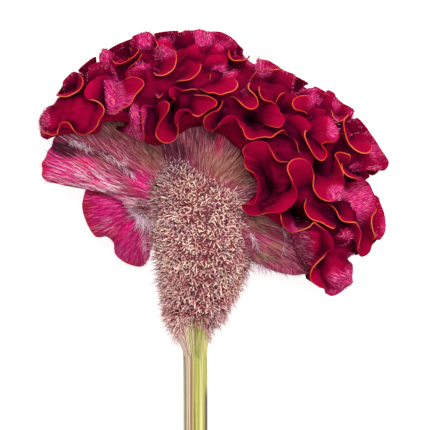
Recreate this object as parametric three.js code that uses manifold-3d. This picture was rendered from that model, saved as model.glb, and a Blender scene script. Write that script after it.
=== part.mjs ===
// A cut cockscomb celosia: one flower head on its bare stem, lying on its back as it rests on a table.
// Millimetres, +Z up. +Y runs from the stem's cut end to the top of the comb, +X to the comb's right.
// The head is a flattened fan. Its folds radiate from one place, the hub, where the stem ends in a
// column of small dry florets. A silky fan spreads from the column to a thick horseshoe ridge, and
// the ridge carries the velvet comb: one thin sheet gathered in deep folds all over it.
import * as THREE from "three";
import { mergeVertices } from "three/addons/utils/BufferGeometryUtils.js";
import Module from "manifold-3d";

const wasm = await Module();
wasm.setup();

// Driving dimensions

const HEAD_WIDTH = 162;
const HEAD_WIDTH_PX = 352; // the same width in the photograph
const PX = HEAD_WIDTH / HEAD_WIDTH_PX;
const HUB_PX = [197, 205]; // the hub in the photograph
const HUB = new THREE.Vector3(-8.4, 40.5, 45); // the hub in the part's frame
const STEM_LENGTH = 163; // from the hub to the middle of the cut end
const STEM_RADIUS = 5.1;
const GAP = 0.3; // between neighbouring pieces
const RAD = Math.PI / 180;

// The ridge, by the angle round the hub: nearest and furthest distance from the hub, and how far its
// folds stand out to the front and to the back.
const RIDGE = [
  [-38, 60, 66, 6, 6],
  [-33, 57, 75, 20, 18],
  [-28, 52, 79.5, 27, 24],
  [-19, 44, 77, 34, 31],
  [-13, 34, 84, 39, 36],
  [-7, 25, 87, 42, 40],
  [0, 17, 85, 44, 42],
  [7, 19, 82, 45, 44],
  [13, 21, 89, 46, 46],
  [22, 23, 88, 47, 47],
  [33, 24, 84, 47, 47],
  [45, 26, 78.5, 48, 47],
  [55, 28, 75.5, 48, 47],
  [69, 30, 74.5, 48, 47],
  [80, 31, 80, 48, 47],
  [92, 31, 81.5, 48, 47],
  [106, 29, 83, 47, 47],
  [118, 27, 84, 45, 47],
  [128, 31, 84.5, 42, 46],
  [138, 48, 84, 34, 38],
  [147, 57, 82.5, 25, 27],
  [152, 67, 82, 15, 16],
  [156.5, 74, 79, 5, 5],
];
const CROWN = 0.32; // where the ridge's highest line lies, from its inner to its outer side
const BRIM = 0.52; // the brim's height over the fan, against the ridge's front
const CORE_REACH = 0.6; // the solid ridge's size against that of the folds' edges
const ROOT_REACH = 0.52; // the folds' roots, sunk in the solid ridge
const RIDGE_STATIONS = 14; // facets along the solid ridge, and round it
const RIDGE_SIDES = 8;

// The value of each column of a table at x, on a smooth curve through its rows.
function along(table, x) {
  const last = table.length - 1;
  let i = 0;
  while (i < last - 1 && x > table[i + 1][0]) i++;
  const [a, b] = [table[i], table[i + 1]];
  const before = table[Math.max(i - 1, 0)];
  const after = table[Math.min(i + 2, last)];
  const span = b[0] - a[0];
  const t = THREE.MathUtils.clamp((x - a[0]) / span, 0, 1);
  return a.slice(1).map((value, column) => {
    const c = column + 1;
    const slopeA = ((b[c] - before[c]) / (b[0] - before[0])) * span;
    const slopeB = ((after[c] - a[c]) / (after[0] - a[0])) * span;
    const rise = b[c] - value;
    return value + t * (slopeA + t * (3 * rise - 2 * slopeA - slopeB + t * (slopeA + slopeB - 2 * rise)));
  });
}

// The ridge's centre line and half sizes at an angle round the hub.
function ridgeAt(angle) {
  const [inner, outer, front, back] = along(RIDGE, angle);
  const centre = inner + CROWN * (outer - inner);
  return { centre, inward: centre - inner, outward: outer - centre, front, back };
}

// A point of the ridge. turn goes round it: 0 is outermost, 90 the front, 180 the hub's side and
// -90 the back. reach is 1 at the folds' edges and 0 at the centre line.
function ridgePoint(angle, turn, reach, grow = 0) {
  const ridge = ridgeAt(angle);
  const [across, up] = [Math.cos(turn * RAD), Math.sin(turn * RAD)];
  const r = ridge.centre + across * ((across > 0 ? ridge.outward : ridge.inward) * reach + grow);
  const z = up * ((up > 0 ? ridge.front : ridge.back) * reach + grow);
  return new THREE.Vector3(r * Math.cos(angle * RAD), r * Math.sin(angle * RAD), z).add(HUB);
}

// The angle round the hub and the turn round the ridge of a point.
function ridgePlace(point) {
  const p = point.clone().sub(HUB);
  let angle = Math.atan2(p.y, p.x) / RAD;
  if (angle < -90) angle += 360;
  const ridge = ridgeAt(angle);
  const r = Math.hypot(p.x, p.y) - ridge.centre;
  const across = r / (r > 0 ? ridge.outward : ridge.inward);
  const up = p.z / (p.z > 0 ? ridge.front : ridge.back);
  return [angle, Math.atan2(up, across) / RAD];
}

// Solids from grids of points

// A closed solid from rings of points: each ring joined to the next, with a cap at both ends. Where
// every second point is a tip, crossed turns each second square's split, so that each tip stands by
// itself.
function loft(rings, crossed = false) {
  const count = rings[0].length;
  const points = rings.flat();
  const faces = [];
  for (let i = 0; i < rings.length - 1; i++) {
    for (let j = 0; j < count; j++) {
      const [a, b] = [i * count + j, i * count + ((j + 1) % count)];
      if (crossed && (i + j) % 2 === 0) faces.push(a, b, a + count, b, b + count, a + count);
      else faces.push(a, b, b + count, a, b + count, a + count);
    }
  }
  [rings[0], rings[rings.length - 1]].forEach((ring, end) => {
    const start = end ? (rings.length - 1) * count : 0;
    const middle = points.length;
    points.push(ring.reduce((sum, p) => sum.add(p), new THREE.Vector3()).divideScalar(count));
    for (let j = 0; j < count; j++) {
      const [a, b] = [start + j, start + ((j + 1) % count)];
      faces.push(...(end ? [a, b, middle] : [b, a, middle]));
    }
  });
  return solid(points, faces);
}

// A solid from points and triangles, turned right side out.
function solid(points, faces) {
  const geometry = new THREE.BufferGeometry().setFromPoints(points);
  geometry.setIndex(faces);
  const merged = mergeVertices(geometry, 1e-4);
  const triVerts = new Uint32Array(merged.index.array);
  const vertProperties = new Float32Array(merged.attributes.position.array);
  const made = new wasm.Manifold(new wasm.Mesh({ numProp: 3, vertProperties, triVerts }));
  if (made.volume() > 0) return made;
  for (let i = 0; i < triVerts.length; i += 3) {
    [triVerts[i + 1], triVerts[i + 2]] = [triVerts[i + 2], triVerts[i + 1]];
  }
  return new wasm.Manifold(new wasm.Mesh({ numProp: 3, vertProperties, triVerts }));
}

const union = (solids) => wasm.Manifold.union(solids);

// The velvet comb's folds

// Edges of the folds that face the viewer, left to right and top to bottom. Each is a line of pixel
// coordinates in the photograph. lean moves the fold's root to one side of where it would otherwise
// lie, in the same pixels, and reach lowers a fold that lies deeper than its neighbours.
const FRONT_FOLDS = [
  { edge: [38, 134, 42, 130, 46, 133, 52, 135, 57, 134, 59, 129, 61, 124, 66, 122.5, 70, 124, 74, 130,
    78, 133.5, 83, 135, 89, 133, 94, 130, 98, 125, 100, 120, 104, 115, 105, 110, 102, 105, 97, 102,
    91, 100, 87, 97, 84.5, 92, 86, 87, 90, 81] },
  { edge: [75, 74, 80, 76, 83, 80, 83, 85, 80, 90.5, 74, 94.5, 67, 97, 60, 96.5, 55, 93, 54, 89] },
  { edge: [36, 134, 38, 127, 40, 118, 45, 108, 51, 100, 54, 94], reach: 1 },
  { edge: [61, 97, 57, 102, 54.5, 110, 55, 117, 59, 122], reach: 0.86 },
  { edge: [54, 92, 58, 85, 65, 77, 73, 69, 81, 60], reach: 1 },
  { edge: [82, 73, 86, 67, 92, 62, 99, 60, 106, 61, 110, 64], reach: 0.95 },
  { edge: [86, 57, 92, 53, 99, 51, 103, 47, 109, 43, 116, 42], reach: 1 },
  { edge: [111, 55, 112, 60, 116, 64, 121, 65, 127, 62.5, 133, 59, 137.5, 54, 139.3, 48, 138.5, 43] },
  { edge: [144.5, 48, 143, 53, 140.5, 58.5, 137, 63, 131, 67, 125, 71.5, 119, 74], reach: 0.92 },
  { edge: [120, 53, 125, 50.5, 129, 46], reach: 0.8 },
  { edge: [119, 41, 126, 38, 134, 34, 142, 31.5, 152, 30, 163, 28.8], reach: 1 },
  { edge: [112, 86, 119, 80, 126, 79, 132, 77.5, 138, 79, 143, 82, 144, 86, 141, 90.5, 137, 94.5, 134, 99,
    131.5, 104.5, 126, 108, 121, 110, 117, 114, 114, 118, 110, 118.5, 107.5, 115], lean: [-20, -8] },
  { edge: [149, 107, 143, 106, 141, 111, 143, 117, 142.5, 125, 143.5, 132, 143, 137.5, 138, 140, 132, 139],
    lean: [-12, 0] },
  { edge: [163, 90, 164, 95, 161, 99, 156, 99, 153.5, 95, 156, 90.5], reach: 0.92 },
  { edge: [151, 66, 153, 72.5, 157, 76.5, 163, 76.8, 170, 73.5, 174.5, 69, 176.5, 62, 176, 55, 172, 50,
    164, 49, 156, 52] },
  { edge: [150, 45, 153, 48, 158, 47, 157, 41, 163, 37, 170, 35.5, 176, 37.5], reach: 0.97 },
  { edge: [163, 29, 172, 31, 180, 30, 187, 28.5, 194, 29, 200, 27.5, 208, 30, 219, 29.5, 228, 33, 235, 38,
    241, 46], reach: 1 },
  { edge: [176, 51, 184, 49, 190, 45, 196, 43, 201, 46, 203, 50], reach: 0.96 },
  { edge: [173, 78, 175.5, 82.5, 181, 82.3, 188, 81, 194, 78, 198.5, 73.5, 200.3, 68.5, 199, 63, 193, 61,
    186, 64] },
  { edge: [199, 62, 204, 58, 211, 55, 219, 54, 226, 55, 229, 60, 228, 66], reach: 0.95 },
  { edge: [208, 44, 214, 41, 220, 42.5, 225, 46, 227, 52], reach: 0.95 },
  { edge: [209, 66, 211, 70, 212, 75, 210, 80], reach: 0.93 },
  { edge: [231, 46, 228.5, 52, 229.5, 58, 233, 61, 239, 61.5, 245, 60.3, 249, 58, 250, 53] },
  { edge: [168, 103, 170, 99, 176, 99.5, 171, 94, 171, 88, 176, 86.5, 183, 90, 190, 89.5, 196, 88.5,
    201, 86.5], reach: 0.93 },
  { edge: [150, 104, 157, 101, 164, 101, 168.5, 104, 168.5, 110, 165, 116, 161, 122, 157, 129, 156.5, 134,
    159, 139, 164, 142.5, 170, 142.5, 175, 139.5, 178, 134, 178, 127, 176, 120, 176, 114, 179, 110,
    185, 108.8, 190, 110.5, 193, 115, 198, 117, 204, 114, 210, 109.5, 215, 107, 216, 102, 212, 98.5,
    205, 96.5, 198, 95.5, 194, 91] },
  { edge: [198, 87, 201, 91.5, 206, 94, 214, 93.7, 220, 95.5, 227, 93.5, 233, 91.5, 237, 87, 236.5, 81,
    233.5, 77, 238, 72, 232, 68, 224, 70] },
  { edge: [223.5, 97, 222, 104, 219.5, 110, 213.5, 113, 208, 116, 204.5, 121, 205, 127, 210, 131, 216, 129,
    221, 123, 226, 117.5, 232, 115, 237.5, 118, 241, 124, 243, 131, 245.5, 137, 250, 140, 258, 138.5,
    265, 137.5, 271, 138, 276, 134.5, 281, 131.5, 287, 129, 293, 131.5] },
  { edge: [229, 95, 234, 98, 240, 103.5, 246, 108.5, 252, 110, 257, 106.5, 257, 101, 253.5, 95, 249, 91,
    248, 87, 251, 82, 254, 77] },
  { edge: [252, 55, 258, 58, 262, 57, 270, 58.5, 278, 63, 285, 68, 292, 71, 299, 74, 305, 79], reach: 1 },
  { edge: [251, 73, 257, 70.5, 264, 69.5, 271, 71, 277, 70, 284, 68], reach: 0.97 },
  { edge: [262, 80, 259, 87, 259, 94, 262, 100, 268, 102.3, 274, 102.5, 278, 107, 281, 113, 284.5, 117,
    283, 123, 278, 127.3, 271, 128.5, 265, 125.5] },
  { edge: [292, 90.5, 286, 93, 280, 95, 276.5, 98, 276, 103], reach: 0.95 },
  { edge: [305, 80, 312, 83, 319, 87, 326, 92, 331, 89.5, 336, 92, 340, 99, 346, 103.5, 353, 107, 360, 113,
    365, 121], reach: 1 },
  { edge: [326, 106, 321, 101, 314, 97, 306, 96.5, 298, 97.5, 293, 101, 292, 106, 294.5, 110.5, 301, 111.8,
    308, 112.5, 314, 110.5] },
  { edge: [286, 115, 293, 114, 300, 115.5, 306, 119, 311, 124.5, 309, 128.5, 304.5, 132, 304, 137, 307.5, 145,
    312, 153.5, 316.5, 159, 321, 160.5, 325, 157, 325.5, 151.5, 320.5, 145, 325, 142.7, 332, 141.7,
    338, 138.5, 339.5, 132, 337, 125, 332.5, 118, 326, 112, 318, 109.5] },
  { edge: [330, 104, 331, 112, 334, 119.5, 339, 122, 344, 119, 347, 113], reach: 0.95 },
  { edge: [352, 113, 346, 117, 343, 124, 344, 133, 347, 142, 352, 148.5, 359, 152.5, 366, 153, 370.5, 149,
    370, 141, 366, 133] },
  { edge: [364, 124, 371, 131, 378, 140, 384, 150, 389, 157, 391, 162, 388, 168, 379, 168.5, 369, 169],
    reach: 1 },
  { edge: [305, 156, 298, 150, 296, 141, 293, 133, 287, 130], reach: 0.88 },
  { edge: [290, 161.5, 284, 163.5, 278, 162, 274, 157.5, 271.5, 151, 269, 144, 262, 141.5, 254, 142.5,
    247, 146.5, 243, 152, 245, 158, 244.5, 164, 247, 169, 252, 172, 256.5, 176, 258.8, 182, 258.5, 190,
    258, 198, 255, 203.5, 249, 203, 242, 205.5, 244.5, 210.5, 250, 214.5, 257, 215, 265, 213, 273, 211.8,
    281, 211.5, 288, 208.5, 294, 203, 297, 196, 297, 189, 293.5, 182.5, 289.5, 176.5, 287, 170, 288, 164.5,
    293, 160.5, 300, 159.3, 307, 161, 312, 166, 314, 173, 312.5, 181, 312.5, 188, 316, 195, 322, 199.2,
    330, 200.3, 337, 199, 342, 194, 345, 186, 344, 177, 340.5, 169, 337, 161, 334, 155.5, 338, 152.8,
    346, 154.5, 353, 158, 359, 162] },
  { edge: [348, 159.5, 342.5, 162, 341, 167, 343.5, 173, 350, 177, 358, 179, 366, 179.5, 372, 176, 366, 170],
    reach: 0.95 },
  { edge: [360, 179, 367, 181, 373, 186, 376, 194, 376.5, 203, 375, 211, 371.5, 216, 371, 224, 372.5, 231,
    374.5, 238, 374.5, 245, 371.5, 253, 366, 256.5, 361, 252, 359, 246, 361, 239, 362, 233, 359.5, 227,
    355, 222.5, 348, 222.3, 341.5, 221, 337.5, 216, 338, 209, 338.5, 202] },
  { edge: [374, 184, 379, 192, 382, 202, 386, 212, 387.5, 223, 387, 232, 382.5, 239, 377, 236.5], reach: 1 },
  { edge: [310, 196, 305, 198, 303.5, 204, 305, 211, 309, 217.5, 315, 220.3, 321, 222, 327, 226, 333, 228.5,
    339, 228, 345, 225] },
  { edge: [283, 212, 281, 218, 283, 225, 288, 230.5, 295, 231.5, 303, 229, 310, 226, 313, 222.5, 320, 227,
    328, 233, 333.5, 241, 333.5, 249, 328, 253.5, 321, 258, 314.5, 264.5, 310.5, 272, 311, 280, 316, 284.5,
    323, 287.5, 328, 294, 335, 296.5, 344, 292, 351, 284, 354.5, 275, 355, 267, 350, 261, 348, 254] },
  { edge: [336, 240, 341, 234, 348, 230, 353, 234, 353, 241, 350, 248], reach: 0.95 },
];

// Rows of folds on the back of the ridge and over its top, where the photograph doesn't show: the
// turn round the ridge that the row follows, the angles where it starts and ends, the number of
// waves, and how far they swing along and across the row.
const BACK_FOLDS = [
  { turn: -16, from: -28, to: 149, waves: 12, along: 2.8, across: 12, phase: 0 },
  { turn: -51, from: -28, to: 148, waves: 10, along: 3.6, across: 14, phase: 2 },
  { turn: -89, from: -25, to: 145, waves: 8, along: 4.5, across: 14.5, phase: 4 },
  { turn: -132, from: -18, to: 144, waves: 6, along: 5.5, across: 15, phase: 1 },
];
const FINE_STEP = 2.5; // between the points that a fold's lines are worked out on
const ROOT_EASING = 200; // rounds of smoothing that take the windings out of a fold's root
const LONGEST_FACET = 20; // along a fold's edge where it runs straight
const FACET_BEND = 58; // degrees that an edge turns from one facet to the next
const ROOT_THICKNESS = 2.2;
const EDGE_THICKNESS = 1.3;
const END_REACH = 0.74; // a fold's two ends run down towards the ridge

// A line of points spread evenly along another.
function evenly(points, count) {
  const line = new THREE.CatmullRomCurve3(points, false, "centripetal");
  return line.getSpacedPoints(count - 1);
}

// A smooth line along the middle of a winding one, between the same two ends.
function middleOf(points) {
  let line = points.map((p) => p.clone());
  for (let round = 0; round < ROOT_EASING; round++) {
    line = line.map((p, i) =>
      i === 0 || i === line.length - 1
        ? p
        : line[i - 1].clone().add(line[i + 1]).add(p).add(p).multiplyScalar(0.25),
    );
  }
  return line;
}

// The numbers of the points to keep on a line, so that facets are short only where it bends.
function facetEnds(line) {
  const load = [0];
  for (let i = 1; i < line.length; i++) {
    const step = line[i].clone().sub(line[i - 1]);
    const bend = i + 1 < line.length ? step.angleTo(line[i + 1].clone().sub(line[i])) / RAD : 0;
    load.push(load[i - 1] + step.length() / LONGEST_FACET + bend / FACET_BEND);
  }
  const last = line.length - 1;
  const facets = Math.max(3, Math.round(load[last]));
  const kept = [0];
  for (let facet = 1; facet < facets; facet++) {
    const next = load.findIndex((value) => value >= (load[last] * facet) / facets);
    if (next > kept[kept.length - 1] && next < last) kept.push(next);
  }
  return [...kept, last];
}

// A fold: a wall that is gathered, so that its root follows the middle of its winding edge.
function fold(edge, lean = [0, 0]) {
  const length = new THREE.CatmullRomCurve3(edge, false, "centripetal").getLength();
  const fine = evenly(edge, Math.ceil(length / FINE_STEP) + 1);
  const shift = new THREE.Vector3(lean[0] * PX, -lean[1] * PX, 0);
  const middle = middleOf(fine);
  const kept = facetEnds(fine);
  const top = kept.map((i) => fine[i]);
  const root = kept.map((i) => {
    const [angle, turn] = ridgePlace(middle[i]);
    return ridgePoint(angle, turn, ROOT_REACH).add(shift);
  });
  const last = kept.length - 1;
  for (const end of [0, last]) {
    const inside = (END_REACH - ROOT_REACH) / (1 - ROOT_REACH);
    top[end] = root[end].clone().lerp(top[end], inside);
  }
  const rows = [root, top].map((line, side) => {
    const half = (side ? EDGE_THICKNESS : ROOT_THICKNESS) / 2;
    return line.map((p, i) => {
      const ahead = line[Math.min(i + 1, last)].clone().sub(line[Math.max(i - 1, 0)]);
      const across = ahead.cross(top[i].clone().sub(root[i])).setLength(half);
      return [p.clone().add(across), p.clone().sub(across)];
    });
  });
  const rings = rows[0].map((feet, i) => [feet[0], feet[1], rows[1][i][1], rows[1][i][0]]);
  return wall(rings);
}

// A wall from four-cornered sections, its two faces split into triangles alike.
function wall(rings) {
  const faces = [];
  for (let i = 0; i < rings.length - 1; i++) {
    const [a, b] = [4 * i, 4 * i + 4];
    faces.push(a, b, a + 3, b, b + 3, a + 3);
    faces.push(a + 1, a + 2, b + 1, b + 1, a + 2, b + 2);
    faces.push(a + 2, a + 3, b + 3, a + 2, b + 3, b + 2);
    faces.push(a, a + 1, b + 1, a, b + 1, b);
  }
  const end = 4 * (rings.length - 1);
  faces.push(0, 2, 1, 0, 3, 2, end, end + 1, end + 2, end, end + 2, end + 3);
  return solid(rings.flat(), faces);
}

// A traced edge laid on the folds' outer surface, which overhangs the fan as a brim.
function tracedEdge({ edge, reach = 1 }) {
  const points = [];
  for (let i = 0; i < edge.length; i += 2) {
    const x = (edge[i] - HUB_PX[0]) * PX;
    const y = (HUB_PX[1] - edge[i + 1]) * PX;
    const angle = Math.atan2(y, x) / RAD;
    const ridge = ridgeAt(angle);
    const r = Math.hypot(x, y) - ridge.centre;
    const across = r / ((r > 0 ? ridge.outward : ridge.inward) * reach);
    const dome = Math.sqrt(1 - Math.min(across * across, 0.99));
    const z = ridge.front * reach * (across < 0 ? Math.max(dome, BRIM) : dome);
    points.push(new THREE.Vector3(x, y, z).add(HUB));
  }
  return points;
}

// A row of waves along the ridge. Two slower waves vary the swing, so that no two folds match.
function wavingEdge({ turn, from, to, waves, along: sway, across, phase }) {
  const points = [];
  const steps = waves * 8;
  for (let i = 0; i <= steps; i++) {
    const t = i / steps;
    const wave = 2 * Math.PI * waves * t;
    const uneven = 1 + 0.3 * Math.sin(0.37 * wave + phase) + 0.15 * Math.sin(0.61 * wave + 2 * phase);
    const angle = from + (to - from) * t + sway * uneven * Math.sin(2 * wave + phase);
    const drift = 4 * Math.sin(0.23 * wave + 1.7 * phase);
    points.push(ridgePoint(angle, turn + drift + across * uneven * Math.sin(wave + phase), 1));
  }
  return points;
}

// The solid ridge that carries the folds.
function ridgeCore(grow = 0) {
  const rings = [];
  const [first, last] = [RIDGE[0][0], RIDGE[RIDGE.length - 1][0]];
  for (let i = 0; i <= RIDGE_STATIONS; i++) {
    const angle = first + ((last - first) * i) / RIDGE_STATIONS;
    const ring = [];
    for (let turn = 0; turn < 360; turn += 360 / RIDGE_SIDES) {
      ring.push(ridgePoint(angle, turn, CORE_REACH, grow));
    }
    rings.push(ring);
  }
  return loft(rings);
}

// The silky fan

// The fan's free outline, by the angle round the hub: its radius, and its front and back surfaces'
// distance from the hub's level. It ends inside the ridge, and on the left in a free lobe.
const FAN = [
  [-60, 14, 8, 8],
  [-48, 30, 9, 9],
  [-38, 52, 9, 9],
  [-30, 60, 10, 10],
  [-12, 55, 12, 12],
  [10, 46, 13, 13],
  [40, 46, 13, 13],
  [75, 47, 13, 13],
  [105, 47, 13, 13],
  [128, 52, 12, 12],
  [140, 64, 10, 11],
  [150, 71, 7, 8],
  [157, 72, 3, 5],
  [163, 73, 2, 3.5],
  [168, 72.5, 1.5, 3],
  [171.5, 66, 1.5, 3],
  [174.5, 47, 2.5, 3.5],
  [180, 37, 4, 4.5],
  [187, 30, 5, 5],
  [197, 20, 6, 6],
  [206, 14, 7, 7],
];
const FAN_NECK = 8; // the fan's half thickness at the column
const FAN_PLEATS = 11; // low pleats that radiate from the hub
const FAN_PLEAT_HEIGHT = 1.1;
const FAN_STATIONS = 44; // facets along the fan's outline
const FAN_SHARES = [0, 0.45, 0.75, 1]; // its rings of points, by their share of the radius

// A point of the fan's skin, on its front where side is 1 and on its back where side is -1.
function fanPoint(angle, share, side, grow) {
  const [radius, front, back] = along(FAN, angle);
  const depth = side > 0 ? front : back;
  const pleat = FAN_PLEAT_HEIGHT * share * Math.sin(FAN_PLEATS * 2 * angle * RAD + 0.6 * side);
  const eased = share * share * (3 - 2 * share);
  const half = FAN_NECK + (depth - FAN_NECK) * eased + pleat;
  const r = radius * share + (share ? grow : 0);
  const z = side * (half + grow);
  return new THREE.Vector3(r * Math.cos(angle * RAD), r * Math.sin(angle * RAD), z).add(HUB);
}

function silkyFan(grow = 0) {
  const [first, last] = [FAN[0][0], FAN[FAN.length - 1][0]];
  const rings = [];
  for (let i = 0; i <= FAN_STATIONS; i++) {
    const angle = first + ((last - first) * i) / FAN_STATIONS;
    const front = FAN_SHARES.map((share) => fanPoint(angle, share, 1, grow));
    const back = FAN_SHARES.map((share) => fanPoint(angle, share, -1, grow)).reverse();
    rings.push([...front, ...back]);
  }
  return loft(rings);
}

// The lower left lobe, a free flap of the fan: its outline from the hub's side round its scalloped
// rim, in pixels of the photograph, and how far each point lies behind the hub's level.
const LOBE_RIM = [
  [86, 187, -9], [82, 206, -11], [87, 224, -13], [96, 237, -14], [105, 236, -11], [113, 242, -10],
  [115, 254, -12], [128, 264, -15], [143, 266, -16], [145, 252, -13], [146, 236, -11], [150, 220, -10],
];
const LOBE_ROOT = [[150, 196], [156, 222]]; // both ends of its root on the column
const LOBE_ROOT_DEPTH = -5;
const LOBE_ROOT_THICKNESS = 5;
const LOBE_RIM_THICKNESS = 1.6;
const LOBE_BELLY = 3; // how far it arches between its root and its rim

// The place of a pixel of the photograph, at a height over the hub.
function fromPhoto(px, py, depth) {
  return new THREE.Vector3((px - HUB_PX[0]) * PX, (HUB_PX[1] - py) * PX, depth).add(HUB);
}

function sideLobe(grow = 0) {
  const last = LOBE_RIM.length - 1;
  const rings = LOBE_RIM.map(([x, y, depth], i) => {
    const t = i / last;
    const rootX = THREE.MathUtils.lerp(LOBE_ROOT[0][0], LOBE_ROOT[1][0], t);
    const rootY = THREE.MathUtils.lerp(LOBE_ROOT[0][1], LOBE_ROOT[1][1], t);
    const root = fromPhoto(rootX, rootY, LOBE_ROOT_DEPTH);
    const rim = fromPhoto(x, y, depth);
    const section = [0, 0.5, 1].map((share) => {
      const p = root.clone().lerp(rim, share);
      p.z += LOBE_BELLY * Math.sin(Math.PI * share);
      return [p, THREE.MathUtils.lerp(LOBE_ROOT_THICKNESS, LOBE_RIM_THICKNESS, share) / 2 + grow];
    });
    const face = section.map(([p, half]) => p.clone().setZ(p.z + half));
    const under = section.map(([p, half]) => p.clone().setZ(p.z - half));
    return [...face, ...under.reverse()];
  });
  return loft(rings);
}

// The stem and the floret column

// The line of the stem and column: t runs down from the hub. It sinks towards the cut end, which
// lies on the table.
const AXIS_SHIFT = [
  [-20, -8.7], [-14, -7.4], [-8, -2.8], [-2, 1.4], [12, 1.8], [22, 3.6], [31, 3.2], [44, 1], [57, -0.9],
  [110, -0.7], [163, -0.2],
];
const STEM_SAG = 0.00036; // its bend, from its own weight
const STEM_FLUTE_DEPTH = 0.35;
const STEM_END_HEIGHT = STEM_RADIUS + STEM_FLUTE_DEPTH; // its cut end lies on the table
const STEM_SLOPE = (HUB.z - STEM_END_HEIGHT) / STEM_LENGTH - STEM_SAG * STEM_LENGTH;

function axisPoint(t) {
  const drop = STEM_SLOPE * t + STEM_SAG * t * t;
  const [shift] = along(AXIS_SHIFT, t);
  return new THREE.Vector3(HUB.x + shift, HUB.y - t, HUB.z - (t > 0 ? drop : 0));
}

// The column without its florets: half its width and half its depth, by the distance below the hub.
const COLUMN = [
  [-19, 4, 10], [-14, 7, 13], [-8, 15, 15.2], [-3, 19.5, 16.4], [12, 20.2, 16.8], [22, 20.2, 16.8],
  [31, 18, 15.4], [44, 13.7, 12.2], [51, 11.8, 10.8], [57, 9.4, 9.2], [60, 8.3, 8.2], [62.5, 7.4, 7.4],
];
const COLUMN_SQUARENESS = 0.8; // 1 is an ellipse, and less fills out its corners
const FLORET_LENGTH = 3.6;
const FLORET_NOD = 0.35; // how far a tip hangs towards the stem, against its length
const FLORET_RINGS = 32;
const FLORETS_ROUND = 32;

// The column, with florets larger than life: every second point of its surface is drawn out to a
// pointed tip that nods towards the stem.
function floretColumn(florets, grow = 0) {
  const [first, last] = [COLUMN[0][0], COLUMN[COLUMN.length - 1][0]];
  const rings = [];
  for (let i = 0; i <= FLORET_RINGS; i++) {
    const t = first + ((last - first) * i) / FLORET_RINGS;
    const centre = axisPoint(t);
    const [wide, deep] = along(COLUMN, t);
    const ring = [];
    for (let j = 0; j < FLORETS_ROUND; j++) {
      const around = (2 * Math.PI * j) / FLORETS_ROUND;
      const tip = florets && (i + j) % 2 === 0 && i > 0 && i < FLORET_RINGS;
      const out = tip ? FLORET_LENGTH * (0.85 + 0.3 * Math.sin(1.9 * i + 2.7 * j)) : 0;
      const nod = FLORET_NOD * out;
      const [cos, sin] = [Math.cos(around), Math.sin(around)];
      const x = (wide + out + grow) * Math.sign(cos) * Math.abs(cos) ** COLUMN_SQUARENESS;
      const z = (deep + out + grow) * Math.sign(sin) * Math.abs(sin) ** COLUMN_SQUARENESS;
      ring.push(new THREE.Vector3(x, -nod, z).add(centre));
    }
    rings.push(ring);
  }
  return loft(rings, true);
}

// The stem: a fluted rod, cut on a slant at its lower end.
const STEM_TOP = 50; // its upper end, inside the column, below the hub
const STEM_FLUTES = 8;
const STEM_STEPS = 11; // facets along it
const STEM_SWELL = 0.5; // how much thicker it is at its upper end
const STEM_CUT_SLANT = 0.15;

function fluted(grow = 0) {
  const sides = STEM_FLUTES * 2;
  const rings = [];
  for (let i = 0; i <= STEM_STEPS; i++) {
    const t = STEM_TOP - grow + ((STEM_LENGTH - STEM_TOP + grow) * i) / STEM_STEPS;
    const centre = axisPoint(t);
    const swell = STEM_SWELL * (1 - i / STEM_STEPS);
    const slant = i === STEM_STEPS ? STEM_CUT_SLANT : 0;
    const ring = [];
    for (let j = 0; j < sides; j++) {
      const around = (2 * Math.PI * j) / sides;
      const radius = STEM_RADIUS + swell + grow + (j % 2 ? -1 : 1) * STEM_FLUTE_DEPTH;
      const [x, z] = [radius * Math.cos(around), radius * Math.sin(around)];
      ring.push(new THREE.Vector3(x, slant * z, z).add(centre));
    }
    rings.push(ring);
  }
  return loft(rings);
}

// The four pieces

// All the room below the table that the head lies on, which its back is flattened by.
const TABLE_SIZE = 600;
const TABLE_THICKNESS = 60;

function tableBlock() {
  const block = new THREE.BoxGeometry(TABLE_SIZE, TABLE_SIZE, TABLE_THICKNESS);
  block.translate(0, 0, -TABLE_THICKNESS / 2);
  block.deleteAttribute("normal").deleteAttribute("uv");
  const position = block.getAttribute("position");
  const corners = [];
  for (let i = 0; i < position.count; i++) corners.push(new THREE.Vector3().fromBufferAttribute(position, i));
  return solid(corners, [...block.index.array]);
}

const table = tableBlock();

const column = floretColumn(false);
const fanWhole = union([silkyFan(), sideLobe()]);
const fanRoom = union([silkyFan(GAP), sideLobe(GAP)]);

const folds = [
  ...FRONT_FOLDS.map((front) => fold(tracedEdge(front), front.lean)),
  ...BACK_FOLDS.map((row) => fold(wavingEdge(row))),
];
const foldsClear = union(folds).subtract(fanRoom).subtract(floretColumn(false, FLORET_LENGTH + GAP));
const comb = union([ridgeCore(), foldsClear]).subtract(table);
const fan = fanWhole.subtract(ridgeCore(GAP)).subtract(floretColumn(false, GAP)).subtract(table);
const florets = floretColumn(true)
  .subtract(fanRoom.subtract(column))
  .subtract(ridgeCore(GAP))
  .subtract(fluted(GAP));
const stem = fluted();

// The largest of a solid's separate bodies: a cut can leave a loose scrap, which is dropped.
function largest(made) {
  return made.decompose().reduce((best, body) => (body.volume() > best.volume() ? body : best));
}

function piece(name, made, look) {
  const skin = largest(made).getMesh();
  const position = new Float32Array(skin.numVert * 3);
  for (let i = 0; i < skin.numVert; i++) {
    position.set(skin.vertProperties.subarray(i * skin.numProp, i * skin.numProp + 3), i * 3);
  }
  const geometry = new THREE.BufferGeometry();
  geometry.setAttribute("position", new THREE.BufferAttribute(position, 3));
  geometry.setIndex(new THREE.BufferAttribute(skin.triVerts, 1));
  const mesh = new THREE.Mesh(geometry, new THREE.MeshStandardMaterial(look));
  mesh.name = name;
  return mesh;
}

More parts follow.
